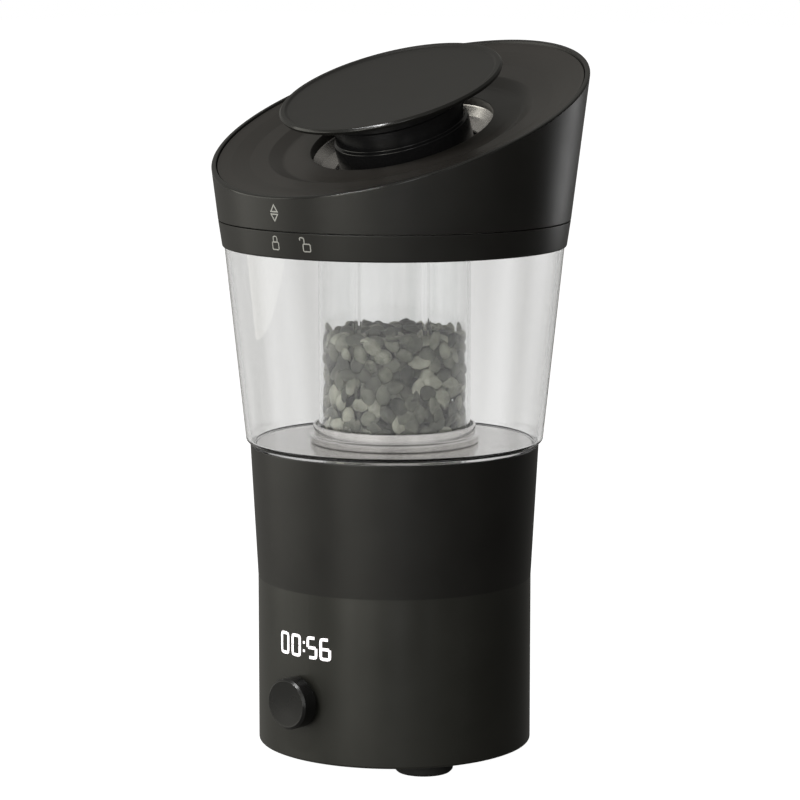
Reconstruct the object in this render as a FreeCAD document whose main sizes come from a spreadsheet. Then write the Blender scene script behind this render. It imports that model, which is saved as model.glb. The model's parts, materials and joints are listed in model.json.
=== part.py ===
import FreeCAD, Part
import math
import os
import Sketcher
from FreeCAD import Placement, Rotation, Vector

# Home coffee bean roaster, in millimetres. Z is up, the front with the knob faces -Y, and the
# origin is the middle of the footprint on the table. Hot air rises from the base through the
# glass, chaff settles in the clear collector round it, and the air leaves under the vent disc.

doc = FreeCAD.newDocument("bean_roaster")
sheet = doc.addObject("Spreadsheet::Sheet", "Sizes")


class Size:
    """A number together with the sheet formula that it follows."""

    def __init__(self, number, formula):
        self.number = float(number)
        self.formula = formula

    def joined(self, other, sign, number):
        return Size(number, "(%s %s %s)" % (self.formula, sign, other.formula))

    def __add__(self, other):
        other = as_size(other)
        return self.joined(other, "+", self.number + other.number)

    def __sub__(self, other):
        other = as_size(other)
        return self.joined(other, "-", self.number - other.number)

    def __mul__(self, other):
        other = as_size(other)
        return self.joined(other, "*", self.number * other.number)

    def __truediv__(self, other):
        other = as_size(other)
        return self.joined(other, "/", self.number / other.number)

    def __neg__(self):
        return Size(-self.number, "(0 - %s)" % self.formula)

    def __radd__(self, other):
        return as_size(other) + self

    def __rsub__(self, other):
        return as_size(other) - self

    def __rmul__(self, other):
        return as_size(other) * self


def as_size(value):
    """Give a plain number the same form as a named size."""
    if isinstance(value, Size):
        return value
    return Size(value, "%r" % value)


def sine(angle):
    return Size(math.sin(math.radians(angle.number)), "sin(%s)" % angle.formula)


def cosine(angle):
    return Size(math.cos(math.radians(angle.number)), "cos(%s)" % angle.formula)


def tangent(angle):
    return Size(math.tan(math.radians(angle.number)), "tan(%s)" % angle.formula)


sheet_rows = []


def size(alias, number):
    """Write one driving size into the sheet and hand it back by name."""
    sheet_rows.append(alias)
    row = len(sheet_rows)
    sheet.set("A%d" % row, alias)
    sheet.set("B%d" % row, "%r" % number)
    sheet.setAlias("B%d" % row, alias)
    return Size(number, "Sizes.%s" % alias)


# General clearances
slide_gap = size("slide_gap", 0.3)
press_gap = size("press_gap", 0.05)
running_gap = size("running_gap", 0.05)
soft_gap = size("soft_gap", 0.4)

# Base housing
base_radius = size("base_radius", 66.0)
base_bottom = size("base_bottom", 6.0)
flare_start = size("flare_start", 87.0)
base_top = size("base_top", 151.0)
base_flare_angle = size("base_flare_angle", 3.1)
base_wall = size("base_wall", 2.5)
deck_depth = size("deck_depth", 1.5)
deck_thickness = size("deck_thickness", 2.5)
rim_width = size("rim_width", 2.4)
housing_foot_round = size("housing_foot_round", 2.0)
cover_ledge = size("cover_ledge", 3.5)

# Bottom cover and feet
cover_thickness = size("cover_thickness", 2.5)
cover_slot_count = size("cover_slot_count", 16)
cover_slot_width = size("cover_slot_width", 2.6)
cover_slot_inner = size("cover_slot_inner", 9.0)
foot_radius = size("foot_radius", 14.5)
foot_inset = size("foot_inset", 20.0)
foot_direction_angle = size("foot_direction_angle", 60.0)
foot_count = size("foot_count", 3)
foot_taper = size("foot_taper", 0.8)
foot_bevel = size("foot_bevel", 0.8)

# Polished floor plate and air throat
plate_sheet = size("plate_sheet", 0.8)
plate_height = size("plate_height", 2.8)
plate_bevel = size("plate_bevel", 0.6)
throat_bore = size("throat_bore", 30.0)
throat_wall = size("throat_wall", 1.5)
throat_length = size("throat_length", 12.3)
throat_flange = size("throat_flange", 40.0)
throat_lip = size("throat_lip", 2.6)

# Blower, motor and heater
electronics_space = size("electronics_space", 15.3)
blower_wall = size("blower_wall", 2.2)
blower_height = size("blower_height", 61.5)
blower_floor = size("blower_floor", 2.0)
intake_radius = size("intake_radius", 24.0)
intake_lip = size("intake_lip", 2.0)
bracket_length = size("bracket_length", 3.8)
bracket_width = size("bracket_width", 4.0)
bracket_spacing = size("bracket_spacing", 36.0)
duct_wall = size("duct_wall", 1.7)
duct_land = size("duct_land", 3.0)
duct_rise = size("duct_rise", 22.0)
duct_shoulder = size("duct_shoulder", 1.0)
duct_socket = size("duct_socket", 6.0)
heater_radius = size("heater_radius", 30.5)
heater_wall = size("heater_wall", 2.0)
mica_thickness = size("mica_thickness", 1.0)
mica_margin = size("mica_margin", 5.0)
probe_radius = size("probe_radius", 1.5)
probe_offset = size("probe_offset", 14.0)
probe_gap = size("probe_gap", 4.5)
cutoff_radius = size("cutoff_radius", 6.5)
cutoff_length = size("cutoff_length", 6.0)
cutoff_seat = size("cutoff_seat", 2.0)
motor_radius = size("motor_radius", 17.5)
motor_height = size("motor_height", 30.0)
motor_drop = size("motor_drop", 6.0)
motor_boss = size("motor_boss", 6.0)
motor_boss_length = size("motor_boss_length", 2.5)
motor_bevel = size("motor_bevel", 2.0)
mount_height = size("mount_height", 6.0)
mount_wall = size("mount_wall", 2.5)
mount_ring = size("mount_ring", 3.0)
mount_arm_count = size("mount_arm_count", 5)
mount_arm_width = size("mount_arm_width", 5.0)
shaft_radius = size("shaft_radius", 1.6)
impeller_gap = size("impeller_gap", 5.0)
impeller_eye = size("impeller_eye", 17.0)
impeller_lift = size("impeller_lift", 1.5)
impeller_blade_height = size("impeller_blade_height", 14.0)
impeller_plate = size("impeller_plate", 1.5)
impeller_hub = size("impeller_hub", 7.0)
blade_count = size("blade_count", 11)
blade_curve = size("blade_curve", 26.0)
blade_thickness = size("blade_thickness", 1.4)
blade_centre = size("blade_centre", 30.0)

# Controls and electronics
board_thickness = size("board_thickness", 1.6)
board_width = size("board_width", 50.0)
board_height = size("board_height", 60.0)
board_lift = size("board_lift", 5.5)
chip_width = size("chip_width", 10.0)
chip_thickness = size("chip_thickness", 3.2)
part_lift = size("part_lift", 6.0)
relay_width = size("relay_width", 7.0)
relay_length = size("relay_length", 16.0)
relay_height = size("relay_height", 14.0)
choke_width = size("choke_width", 6.0)
choke_length = size("choke_length", 14.0)
capacitor_length = size("capacitor_length", 20.0)
capacitor_height = size("capacitor_height", 12.0)
capacitor_lift = size("capacitor_lift", 34.0)
part_spacing = size("part_spacing", 1.5)
control_height = size("control_height", 35.0)
display_height = size("display_height", 62.0)
display_width = size("display_width", 38.0)
display_tall = size("display_tall", 18.0)
display_depth = size("display_depth", 5.0)
encoder_width = size("encoder_width", 14.0)
encoder_depth = size("encoder_depth", 7.0)
encoder_bush = size("encoder_bush", 4.5)
encoder_back = size("encoder_back", 1.0)
spindle_radius = size("spindle_radius", 3.0)
press_travel = size("press_travel", 0.7)
plunger_length = size("plunger_length", 1.2)
knob_radius = size("knob_radius", 12.2)
knob_length = size("knob_length", 9.0)
knob_gap = size("knob_gap", 1.0)
knob_round = size("knob_round", 1.2)
knob_dish = size("knob_dish", 0.5)
knob_bore_depth = size("knob_bore_depth", 6.0)
inlet_width = size("inlet_width", 28.0)
inlet_tall = size("inlet_tall", 21.0)
inlet_wall = size("inlet_wall", 2.4)
inlet_floor = size("inlet_floor", 2.4)
inlet_recess = size("inlet_recess", 1.7)
inlet_height = size("inlet_height", 30.0)
pin_width = size("pin_width", 4.0)
pin_thickness = size("pin_thickness", 2.0)
pin_length = size("pin_length", 9.0)
pin_spacing = size("pin_spacing", 7.0)
pin_rise = size("pin_rise", 2.0)

# Roasting chamber
glass_radius = size("glass_radius", 36.5)
glass_wall = size("glass_wall", 2.2)
glass_length = size("glass_length", 85.5)
collar_radius = size("collar_radius", 40.7)
collar_height = size("collar_height", 8.7)
collar_floor = size("collar_floor", 2.2)
collar_bevel = size("collar_bevel", 0.8)
seal_width = size("seal_width", 1.5)
spigot_length = size("spigot_length", 6.3)
spigot_wall = size("spigot_wall", 1.7)
swirl_thickness = size("swirl_thickness", 1.0)
swirl_slot_count = size("swirl_slot_count", 18)
swirl_slot_width = size("swirl_slot_width", 1.6)
swirl_slot_inner = size("swirl_slot_inner", 10.0)
swirl_slot_outer = size("swirl_slot_outer", 26.0)
bean_depth = size("bean_depth", 53.5)
bean_crown = size("bean_crown", 4.0)

# Chaff collector
shell_foot_inset = size("shell_foot_inset", 0.5)
shell_overhang = size("shell_overhang", 2.0)
shell_low_height = size("shell_low_height", 2.6)
shell_flare_angle = size("shell_flare_angle", 6.05)
shell_wall = size("shell_wall", 2.0)
shell_foot_round = size("shell_foot_round", 1.6)
shell_tenon = size("shell_tenon", 8.3)
shell_shoulder = size("shell_shoulder", 0.8)
collector_height = size("collector_height", 95.7)
ring_height = size("ring_height", 12.5)
ring_overhang = size("ring_overhang", 1.0)
ring_spread = size("ring_spread", 1.9)
ring_lip = size("ring_lip", 3.8)
ring_round = size("ring_round", 1.2)
gasket_width = size("gasket_width", 2.5)
gasket_margin = size("gasket_margin", 1.0)
gasket_depth = size("gasket_depth", 1.5)
seam_gap = size("seam_gap", 0.4)
lug_angle = size("lug_angle", 10.0)
lug_count = size("lug_count", 3)
lug_reach = size("lug_reach", 2.1)
lug_height = size("lug_height", 3.2)
lug_root = size("lug_root", 0.5)

# Lid with its slanted top
lid_flare_angle = size("lid_flare_angle", 7.1)
lid_wall = size("lid_wall", 2.4)
lid_floor = size("lid_floor", 2.4)
slant_angle = size("slant_angle", 20.3)
slant_rise = size("slant_rise", 47.5)
slant_shift = size("slant_shift", 2.5)
skirt_gap = size("skirt_gap", 2.5)
skirt_wall = size("skirt_wall", 1.8)
skirt_depth = size("skirt_depth", 9.0)
filter_overlap = size("filter_overlap", 1.2)
filter_thickness = size("filter_thickness", 1.0)
filter_slot_count = size("filter_slot_count", 24)
filter_slot_width = size("filter_slot_width", 3.0)
filter_slot_inner = size("filter_slot_inner", 28.0)
filter_slot_outer = size("filter_slot_outer", 66.0)

# Vent in the slanted top; each drop is measured down from the plane of the rim
dish_edge_drop = size("dish_edge_drop", 1.2)
dish_edge_angle = size("dish_edge_angle", 5.7)
dish_band_drop = size("dish_band_drop", 5.5)
dish_band_radius = size("dish_band_radius", 68.0)
dish_moat_drop = size("dish_moat_drop", 9.5)
dish_moat_radius = size("dish_moat_radius", 61.0)
dish_thickness = size("dish_thickness", 2.0)
outlet_radius = size("outlet_radius", 47.6)
outlet_sheet = size("outlet_sheet", 1.2)
outlet_flange = size("outlet_flange", 4.0)
outlet_clearance = size("outlet_clearance", 4.5)
hub_radius = size("hub_radius", 33.0)
hub_wall = size("hub_wall", 2.0)
hub_lift = size("hub_lift", 0.5)
grille_lift = size("grille_lift", 2.5)
grille_thickness = size("grille_thickness", 1.0)
grille_slot_count = size("grille_slot_count", 30)
grille_slot_width = size("grille_slot_width", 3.0)
grille_margin = size("grille_margin", 2.0)
disc_radius = size("disc_radius", 54.6)
disc_rise = size("disc_rise", 16.1)
disc_thickness = size("disc_thickness", 3.1)
disc_dish = size("disc_dish", 1.5)
disc_bead = size("disc_bead", 3.5)
disc_edge = size("disc_edge", 0.8)

zero = as_size(0)


def bind(thing, target, value):
    """Tie one property to its size, or set it when it is a bare number."""
    value = as_size(value)
    if "Sizes." in value.formula:
        thing.setExpression(target, value.formula)
    else:
        setattr(thing, target, value.number)


def place(thing, x=0, y=0, z=0, axis=None, angle=0):
    """Set a Placement and tie each part of it that depends on a size."""
    x, y, z, angle = as_size(x), as_size(y), as_size(z), as_size(angle)
    turn = Rotation(axis, angle.number) if axis else Rotation()
    thing.Placement = Placement(Vector(x.number, y.number, z.number), turn)
    for letter, value in (("x", x), ("y", y), ("z", z)):
        if "Sizes." in value.formula:
            thing.setExpression("Placement.Base.%s" % letter, value.formula)
    if "Sizes." in angle.formula:
        thing.setExpression("Placement.Rotation.Angle", angle.formula)
    return thing


def origin_part(body, role):
    """Find a plane or an axis of the body's own origin."""
    return [part for part in body.Origin.OriginFeatures if part.Role == role][0]


def new_body(name):
    body = doc.addObject("PartDesign::Body", name)
    body.Label = name
    return body


def new_sketch(body, name, role, height=0):
    """Add a sketch on an origin plane, moved along its normal when a height is given."""
    sketch = body.newObject("Sketcher::SketchObject", name)
    sketch.AttachmentSupport = [(origin_part(body, role), "")]
    sketch.MapMode = "FlatFace"
    height = as_size(height)
    if height.number:
        sketch.AttachmentOffset = Placement(Vector(0, 0, height.number), Rotation())
        sketch.setExpression("AttachmentOffset.Base.z", height.formula)
    return sketch


def pin_down(constraints, links, line, corner):
    """Fix the start of a line at its distances from the sketch's origin."""
    for kind, axis, value in (("DistanceX", -2, corner[0]), ("DistanceY", -1, corner[1])):
        if value.number == 0:
            constraints.append(Sketcher.Constraint("PointOnObject", line, 1, axis))
            continue
        if value.number > 0:
            constraints.append(Sketcher.Constraint(kind, -1, 1, line, 1, value.number))
        else:
            value = -value
            constraints.append(Sketcher.Constraint(kind, line, 1, -1, 1, value.number))
        if "Sizes." in value.formula:
            links.append((len(constraints) - 1, value.formula))


def draw(sketch, outlines):
    """Draw closed outlines of straight edges, every corner held by its two sizes."""
    lines = []
    constraints = []
    links = []
    for outline in outlines:
        corners = [(as_size(across), as_size(up)) for across, up in outline]
        first = len(lines)
        count = len(corners)
        for index, (across, up) in enumerate(corners):
            end = corners[(index + 1) % count]
            start_point = Vector(across.number, up.number, 0)
            end_point = Vector(end[0].number, end[1].number, 0)
            lines.append(Part.LineSegment(start_point, end_point))
            here = first + index
            following = first + (index + 1) % count
            constraints.append(Sketcher.Constraint("Coincident", here, 2, following, 1))
            pin_down(constraints, links, here, (across, up))
    sketch.addGeometry(lines, False)
    sketch.addConstraint(constraints)
    for index, formula in links:
        sketch.setExpression("Constraints[%d]" % index, formula)
    return sketch


def turned(name, corners, body=None, angle=None):
    """Turn an outline of radius and height round the Z axis, whole or over an angle."""
    own = body is None
    body = body or new_body(name)
    sketch = draw(new_sketch(body, name + "_outline", "XZ_Plane"), [corners])
    turn = body.newObject("PartDesign::Revolution", name + "_turned")
    turn.Profile = sketch
    turn.ReferenceAxis = (sketch, ["V_Axis"])
    if angle is None:
        turn.Angle = 360
    else:
        turn.Midplane = True
        bind(turn, "Angle", angle)
    sketch.Visibility = False
    doc.recompute()
    return body if own else turn


def repeated(body, feature, name, count):
    """Repeat a feature evenly round the body's Z axis."""
    pattern = body.newObject("PartDesign::PolarPattern", name)
    pattern.Originals = [feature]
    pattern.Axis = (origin_part(body, "Z_Axis"), [""])
    pattern.Angle = 360
    pattern.Occurrences = int(as_size(count).number)
    if isinstance(count, Size):
        pattern.setExpression("Occurrences", count.formula)
    body.Tip = pattern
    doc.recompute()
    return pattern


def rectangle(left, right, low, high):
    return [(left, low), (right, low), (right, high), (left, high)]


def cut_through(body, name, sketch):
    """Pocket a sketch through the whole body, both ways from its plane."""
    before = body.Shape.Volume
    pocket = body.newObject("PartDesign::Pocket", name)
    pocket.Profile = sketch
    pocket.Type = "ThroughAll"
    pocket.Midplane = True
    sketch.Visibility = False
    doc.recompute()
    if not body.Shape.Volume < before:
        raise ValueError(name + " removes nothing")
    return pocket


def slotted(body, name, inner, outer, width, count):
    """Cut straight slots through a disc, evenly round its middle."""
    sketch = new_sketch(body, name + "_sketch", "XY_Plane")
    half = as_size(width) / 2
    draw(sketch, [rectangle(inner, outer, -half, half)])
    pocket = cut_through(body, name, sketch)
    return repeated(body, pocket, name + "_pattern", count)


def ring_edges(body, radius, height):
    """Name the round edges of one radius at one height."""
    found = []
    for number, edge in enumerate(body.Shape.Edges, 1):
        curve = edge.Curve
        if not hasattr(curve, "Radius"):
            continue
        close = abs(curve.Radius - radius.number) < 0.01
        level = abs(edge.BoundBox.ZMin - height.number) < 0.01
        if close and level and edge.BoundBox.ZLength < 0.01:
            found.append("Edge%d" % number)
    return found


def rounded(body, name, places, radius):
    """Round the turned edges that lie at the given radii and heights."""
    edges = []
    for across, up in places:
        edges += ring_edges(body, as_size(across), as_size(up))
    if len(edges) < len(places):
        raise ValueError(name + " misses an edge")
    before = body.Tip
    fillet = body.newObject("PartDesign::Fillet", name)
    fillet.Base = (before, edges)
    bind(fillet, "Radius", radius)
    body.Tip = fillet
    doc.recompute()
    return fillet


def cylinder(name, radius, height, **where):
    solid = doc.addObject("Part::Cylinder", name)
    solid.Label = name
    bind(solid, "Radius", radius)
    bind(solid, "Height", height)
    return place(solid, **where)


def block(name, length, width, height, **where):
    """Add a box whose X and Y middle and Z bottom lie at the given place."""
    length, width, height = as_size(length), as_size(width), as_size(height)
    solid = doc.addObject("Part::Box", name)
    solid.Label = name
    bind(solid, "Length", length)
    bind(solid, "Width", width)
    bind(solid, "Height", height)
    middle_x = as_size(where.get("x", 0)) - length / 2
    middle_y = as_size(where.get("y", 0)) - width / 2
    return place(solid, x=middle_x, y=middle_y, z=where.get("z", 0))


def joined(name, pieces):
    fused = doc.addObject("Part::MultiFuse", name)
    fused.Label = name
    fused.Shapes = pieces
    doc.recompute()
    return fused


def cut_away(name, base, tool):
    cut = doc.addObject("Part::Cut", name)
    cut.Label = name
    cut.Base = base
    cut.Tool = tool
    doc.recompute()
    return cut


def common(name, base, tool):
    shared = doc.addObject("Part::Common", name)
    shared.Label = name
    shared.Base = base
    shared.Tool = tool
    doc.recompute()
    return shared


def tilt(thing):
    """Set a vent piece on the slanted axis, with its zero at the bottom of the hub."""
    along_y = hub_bottom_drop * sine(slant_angle) + slant_shift * cosine(slant_angle)
    along_z = slant_height - hub_bottom_drop * cosine(slant_angle) + slant_shift * sine(slant_angle)
    return place(thing, y=along_y, z=along_z, axis=Vector(1, 0, 0), angle=slant_angle)


def above_hub_bottom(drop):
    """Turn a depth below the rim's plane into a height on the slanted axis."""
    return hub_bottom_drop - drop


# Levels and radii that several pieces share, from the table upwards
cover_top = base_bottom + cover_thickness
deck_level = base_top - deck_depth
deck_underside = deck_level - deck_thickness
base_top_radius = base_radius + (base_top - flare_start) * tangent(base_flare_angle)
rim_inner = base_top_radius - rim_width
housing_inner = base_radius - base_wall
plate_top = deck_level + plate_height
plate_radius = rim_inner - slide_gap
throat_bottom = plate_top - throat_length
throat_outer = throat_bore + throat_wall
blower_radius = housing_inner - electronics_space
blower_inner = blower_radius - blower_wall
blower_top = cover_top + blower_height
bracket_reach = blower_radius + bracket_length
board_front = bracket_reach + board_thickness
board_bottom = cover_top + board_lift
impeller_bottom = cover_top + blower_floor + intake_lip + impeller_lift
impeller_radius = blower_inner - impeller_gap
motor_top = blower_top - motor_drop
motor_bottom = motor_top - motor_height
shaft_top = motor_top - mount_wall
duct_seat = blower_top + duct_rise
heater_inner = heater_radius - heater_wall
mica_bottom = duct_seat + mica_margin
mica_top = throat_bottom - mica_margin
collar_base = plate_top
collar_top = collar_base + collar_height
collar_shelf = collar_base + collar_floor
glass_inner = glass_radius - glass_wall
glass_top = collar_shelf + glass_length
swirl_top = collar_shelf + swirl_thickness
bean_level = swirl_top + bean_depth
ring_bottom = base_top + collector_height
ring_top = ring_bottom + ring_height
shell_low = base_top + shell_low_height
shell_low_radius = base_top_radius + shell_overhang
shell_top_radius = shell_low_radius + (ring_bottom - shell_low) * tangent(shell_flare_angle)
tenon_radius = shell_top_radius - shell_shoulder
tenon_top = ring_bottom + shell_tenon
ring_low_radius = shell_top_radius + ring_overhang
ring_top_radius = ring_low_radius + ring_spread
ring_bore = shell_top_radius - ring_lip
gasket_inner = ring_bore + gasket_margin
gasket_outer = gasket_inner + gasket_width
lid_bottom = ring_top + seam_gap
lid_floor_top = lid_bottom + lid_floor
filter_top = lid_floor_top + filter_thickness
skirt_radius = ring_bore - skirt_gap
skirt_bottom = lid_bottom - skirt_depth
slant_height = lid_bottom + slant_rise

# The outlet reaches down to a clearance above the filter at its low side
outlet_side_drop = outlet_radius * sine(slant_angle)
outlet_room = slant_height + slant_shift * sine(slant_angle) - filter_top - outlet_clearance
outlet_drop = (outlet_room - outlet_side_drop) / cosine(slant_angle)
hub_bottom_drop = outlet_drop - hub_lift
grille_drop = outlet_drop - grille_lift


def base_housing():
    """Moulded shell of the base with its top deck, inner ledge and openings."""
    inner_top = base_top_radius - base_wall - (base_top - deck_underside) * tangent(base_flare_angle)
    body = turned("base_housing", [
        (base_radius, base_bottom),
        (base_radius, flare_start),
        (base_top_radius, base_top),
        (rim_inner, base_top),
        (rim_inner, deck_level),
        (throat_outer + press_gap, deck_level),
        (throat_outer + press_gap, deck_underside),
        (inner_top, deck_underside),
        (housing_inner, flare_start),
        (housing_inner, cover_top + cover_thickness),
        (housing_inner - cover_ledge, cover_top + cover_thickness),
        (housing_inner - cover_ledge, cover_top),
        (housing_inner, cover_top),
        (housing_inner, base_bottom),
    ])
    rounded(body, "housing_foot", [(base_radius, base_bottom)], housing_foot_round)
    hole = new_sketch(body, "knob_hole_sketch", "XZ_Plane")
    circle = Part.Circle(Vector(0, control_height.number, 0), Vector(0, 0, 1), 1)
    hole.addGeometry([circle], False)
    bush_hole = encoder_bush + press_gap
    hole.addConstraint([
        Sketcher.Constraint("PointOnObject", 0, 3, -2),
        Sketcher.Constraint("DistanceY", -1, 1, 0, 3, control_height.number),
        Sketcher.Constraint("Radius", 0, bush_hole.number),
    ])
    hole.setExpression("Constraints[1]", control_height.formula)
    hole.setExpression("Constraints[2]", bush_hole.formula)
    cut_one_side(body, "knob_hole", hole, front=True)
    window = new_sketch(body, "inlet_window_sketch", "XZ_Plane")
    half = inlet_width / 2
    draw(window, [rectangle(-half, half, inlet_height - inlet_tall / 2, inlet_height + inlet_tall / 2)])
    cut_one_side(body, "inlet_window", window, front=False)
    return body


def cut_one_side(body, name, sketch, front):
    """Pocket from the middle plane outwards through the front or the back wall."""
    before = body.Shape.Volume
    pocket = body.newObject("PartDesign::Pocket", name)
    pocket.Profile = sketch
    pocket.Type = "Length"
    bind(pocket, "Length", base_radius * 2)
    pocket.Reversed = front
    sketch.Visibility = False
    doc.recompute()
    if not body.Shape.Volume < before:
        raise ValueError(name + " removes nothing")


def bottom_cover():
    """Disc that closes the base, with the air intake slots."""
    rim = housing_inner - press_gap
    body = turned("bottom_cover", [(0, base_bottom), (rim, base_bottom), (rim, cover_top), (0, cover_top)])
    outer = intake_radius - press_gap
    slotted(body, "intake_slots", cover_slot_inner, outer, cover_slot_width, cover_slot_count)
    return body


def rubber_foot(name, angle):
    """One of three round feet, wider where it meets the cover."""
    narrow = foot_radius - foot_taper
    body = turned(name, [
        (0, 0),
        (narrow - foot_bevel, 0),
        (narrow, foot_bevel),
        (foot_radius, base_bottom),
        (0, base_bottom),
    ])
    foot_circle = base_radius - foot_inset
    return place(body, x=foot_circle * sine(angle), y=-(foot_circle * cosine(angle)))


def floor_plate():
    """Pressed steel plate on the deck, with a turned-down edge."""
    return turned("floor_plate", [
        (plate_radius, deck_level),
        (plate_radius, plate_top - plate_bevel),
        (plate_radius - plate_bevel, plate_top),
        (throat_bore + throat_lip + throat_wall, plate_top),
        (throat_bore + throat_lip + throat_wall, plate_top - plate_sheet),
        (plate_radius - plate_sheet, plate_top - plate_sheet),
        (plate_radius - plate_sheet, deck_level),
    ])

def throat_ring():
    """Metal ring that carries the hot air through the deck."""
    lip = throat_bore + throat_lip + throat_wall - press_gap
    return turned("throat_ring", [
        (throat_bore, throat_bottom),
        (throat_outer, throat_bottom),
        (throat_outer, deck_level),
        (throat_flange, deck_level),
        (throat_flange, plate_top - plate_sheet),
        (lip, plate_top - plate_sheet),
        (lip, plate_top),
        (throat_bore, plate_top),
    ])


def blower_housing():
    """Round fan casing with its intake ring and the ribs that hold the boards."""
    body = turned("blower_housing", [
        (intake_radius, cover_top),
        (blower_radius, cover_top),
        (blower_radius, blower_top),
        (blower_inner, blower_top),
        (blower_inner, cover_top + blower_floor),
        (intake_radius + blower_floor, cover_top + blower_floor),
        (intake_radius + blower_floor, cover_top + blower_floor + intake_lip),
        (intake_radius, cover_top + blower_floor + intake_lip),
    ])
    ribs = new_sketch(body, "board_rib_sketch", "XY_Plane", board_bottom)
    middle = bracket_spacing / 2
    half = bracket_width / 2
    draw(ribs, [
        rectangle(middle - half, middle + half, blower_inner - bracket_width, bracket_reach),
        rectangle(-(middle + half), -(middle - half), blower_inner - bracket_width, bracket_reach),
    ])
    pad = body.newObject("PartDesign::Pad", "board_ribs")
    pad.Profile = ribs
    bind(pad, "Length", blower_top - board_bottom)
    ribs.Visibility = False
    doc.recompute()
    repeated(body, pad, "board_rib_pattern", 4)
    lip_top = cover_top + blower_floor + intake_lip
    bore = new_sketch(body, "fan_space_sketch", "XY_Plane", lip_top)
    circle = Part.Circle(Vector(0, 0, 0), Vector(0, 0, 1), blower_inner.number)
    bore.addGeometry([circle], False)
    bore.addConstraint([
        Sketcher.Constraint("Coincident", 0, 3, -1, 1),
        Sketcher.Constraint("Radius", 0, blower_inner.number),
    ])
    bore.setExpression("Constraints[1]", blower_inner.formula)
    clear = body.newObject("PartDesign::Pocket", "fan_space")
    clear.Profile = bore
    clear.Type = "Length"
    clear.Reversed = True
    bind(clear, "Length", blower_top)
    bore.Visibility = False
    doc.recompute()
    return body


def duct_cone():
    """Cone that gathers the air from the fan into the heater tube."""
    collar = heater_radius + press_gap
    return turned("duct_cone", [
        (blower_inner, blower_top),
        (blower_radius, blower_top),
        (blower_radius, blower_top + duct_land),
        (collar + duct_wall, duct_seat + duct_shoulder),
        (collar + duct_wall, duct_seat + duct_socket),
        (collar, duct_seat + duct_socket),
        (collar, duct_seat),
        (heater_inner, duct_seat),
        (heater_inner, duct_seat - duct_wall),
        (blower_inner, blower_top + duct_land - duct_wall),
    ])


def heater_tube():
    """Tube that keeps the hot air off the housing."""
    return turned("heater_tube", rectangle(heater_inner, heater_radius, duct_seat, throat_bottom))


def heater_former():
    """Two crossed mica cards that hold the heating wire."""
    span = (heater_inner - press_gap) * 2
    height = mica_top - mica_bottom
    cards = [
        block("card_across", span, mica_thickness, height, z=mica_bottom),
        block("card_along", mica_thickness, span, height, z=mica_bottom),
    ]
    return joined("heater_former", cards)


def thermocouple_probe():
    """Thin probe that stands on the heater's cards below the swirl plate."""
    length = collar_shelf - probe_gap - mica_top
    return cylinder("thermocouple_probe", probe_radius, length, x=probe_offset, z=mica_top)


def thermal_cutoff():
    """Round cut-off switch that sits against the heater tube at the back."""
    button = cylinder("cutoff_button", cutoff_radius, cutoff_length + cutoff_seat,
                      y=heater_radius + cutoff_length, z=(duct_seat + throat_bottom) / 2,
                      axis=Vector(1, 0, 0), angle=90)
    tube = cylinder("cutoff_tube", heater_radius, throat_bottom - duct_seat, z=duct_seat)
    return cut_away("thermal_cutoff", button, tube)


def fan_motor():
    """Motor can with a bearing boss at the bottom and a bore for its shaft."""
    bore = shaft_radius + running_gap
    return turned("fan_motor", [
        (bore, motor_bottom - motor_boss_length),
        (motor_boss, motor_bottom - motor_boss_length),
        (motor_boss, motor_bottom),
        (motor_radius - motor_bevel, motor_bottom),
        (motor_radius, motor_bottom + motor_bevel),
        (motor_radius, motor_top),
        (bore, motor_top),
    ])


def motor_mount():
    """Cup over the motor, held in the fan casing by arms and a ring."""
    low = motor_top + mount_wall - mount_height
    high = motor_top + mount_wall
    cup = motor_radius + press_gap + mount_wall
    body = turned("motor_mount", [
        (motor_radius + press_gap, low),
        (cup, low),
        (cup, high),
        (shaft_radius * 2, high),
        (shaft_radius * 2, motor_top),
        (motor_radius + press_gap, motor_top),
    ])
    arm = new_sketch(body, "mount_arm_sketch", "XY_Plane", low)
    half = mount_arm_width / 2
    draw(arm, [rectangle(motor_radius + mount_wall, blower_inner - mount_ring / 2, -half, half)])
    pad = body.newObject("PartDesign::Pad", "mount_arm")
    pad.Profile = arm
    bind(pad, "Length", mount_height)
    arm.Visibility = False
    doc.recompute()
    repeated(body, pad, "mount_arms", mount_arm_count)
    band = rectangle(blower_inner - mount_ring, blower_inner - press_gap, low, high)
    ring = turned("mount_band", band, body=body)
    body.Tip = ring
    doc.recompute()
    return body


def motor_shaft():
    """Steel shaft through the motor, down to the impeller."""
    return cylinder("motor_shaft", shaft_radius, shaft_top - impeller_bottom, z=impeller_bottom)


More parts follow.
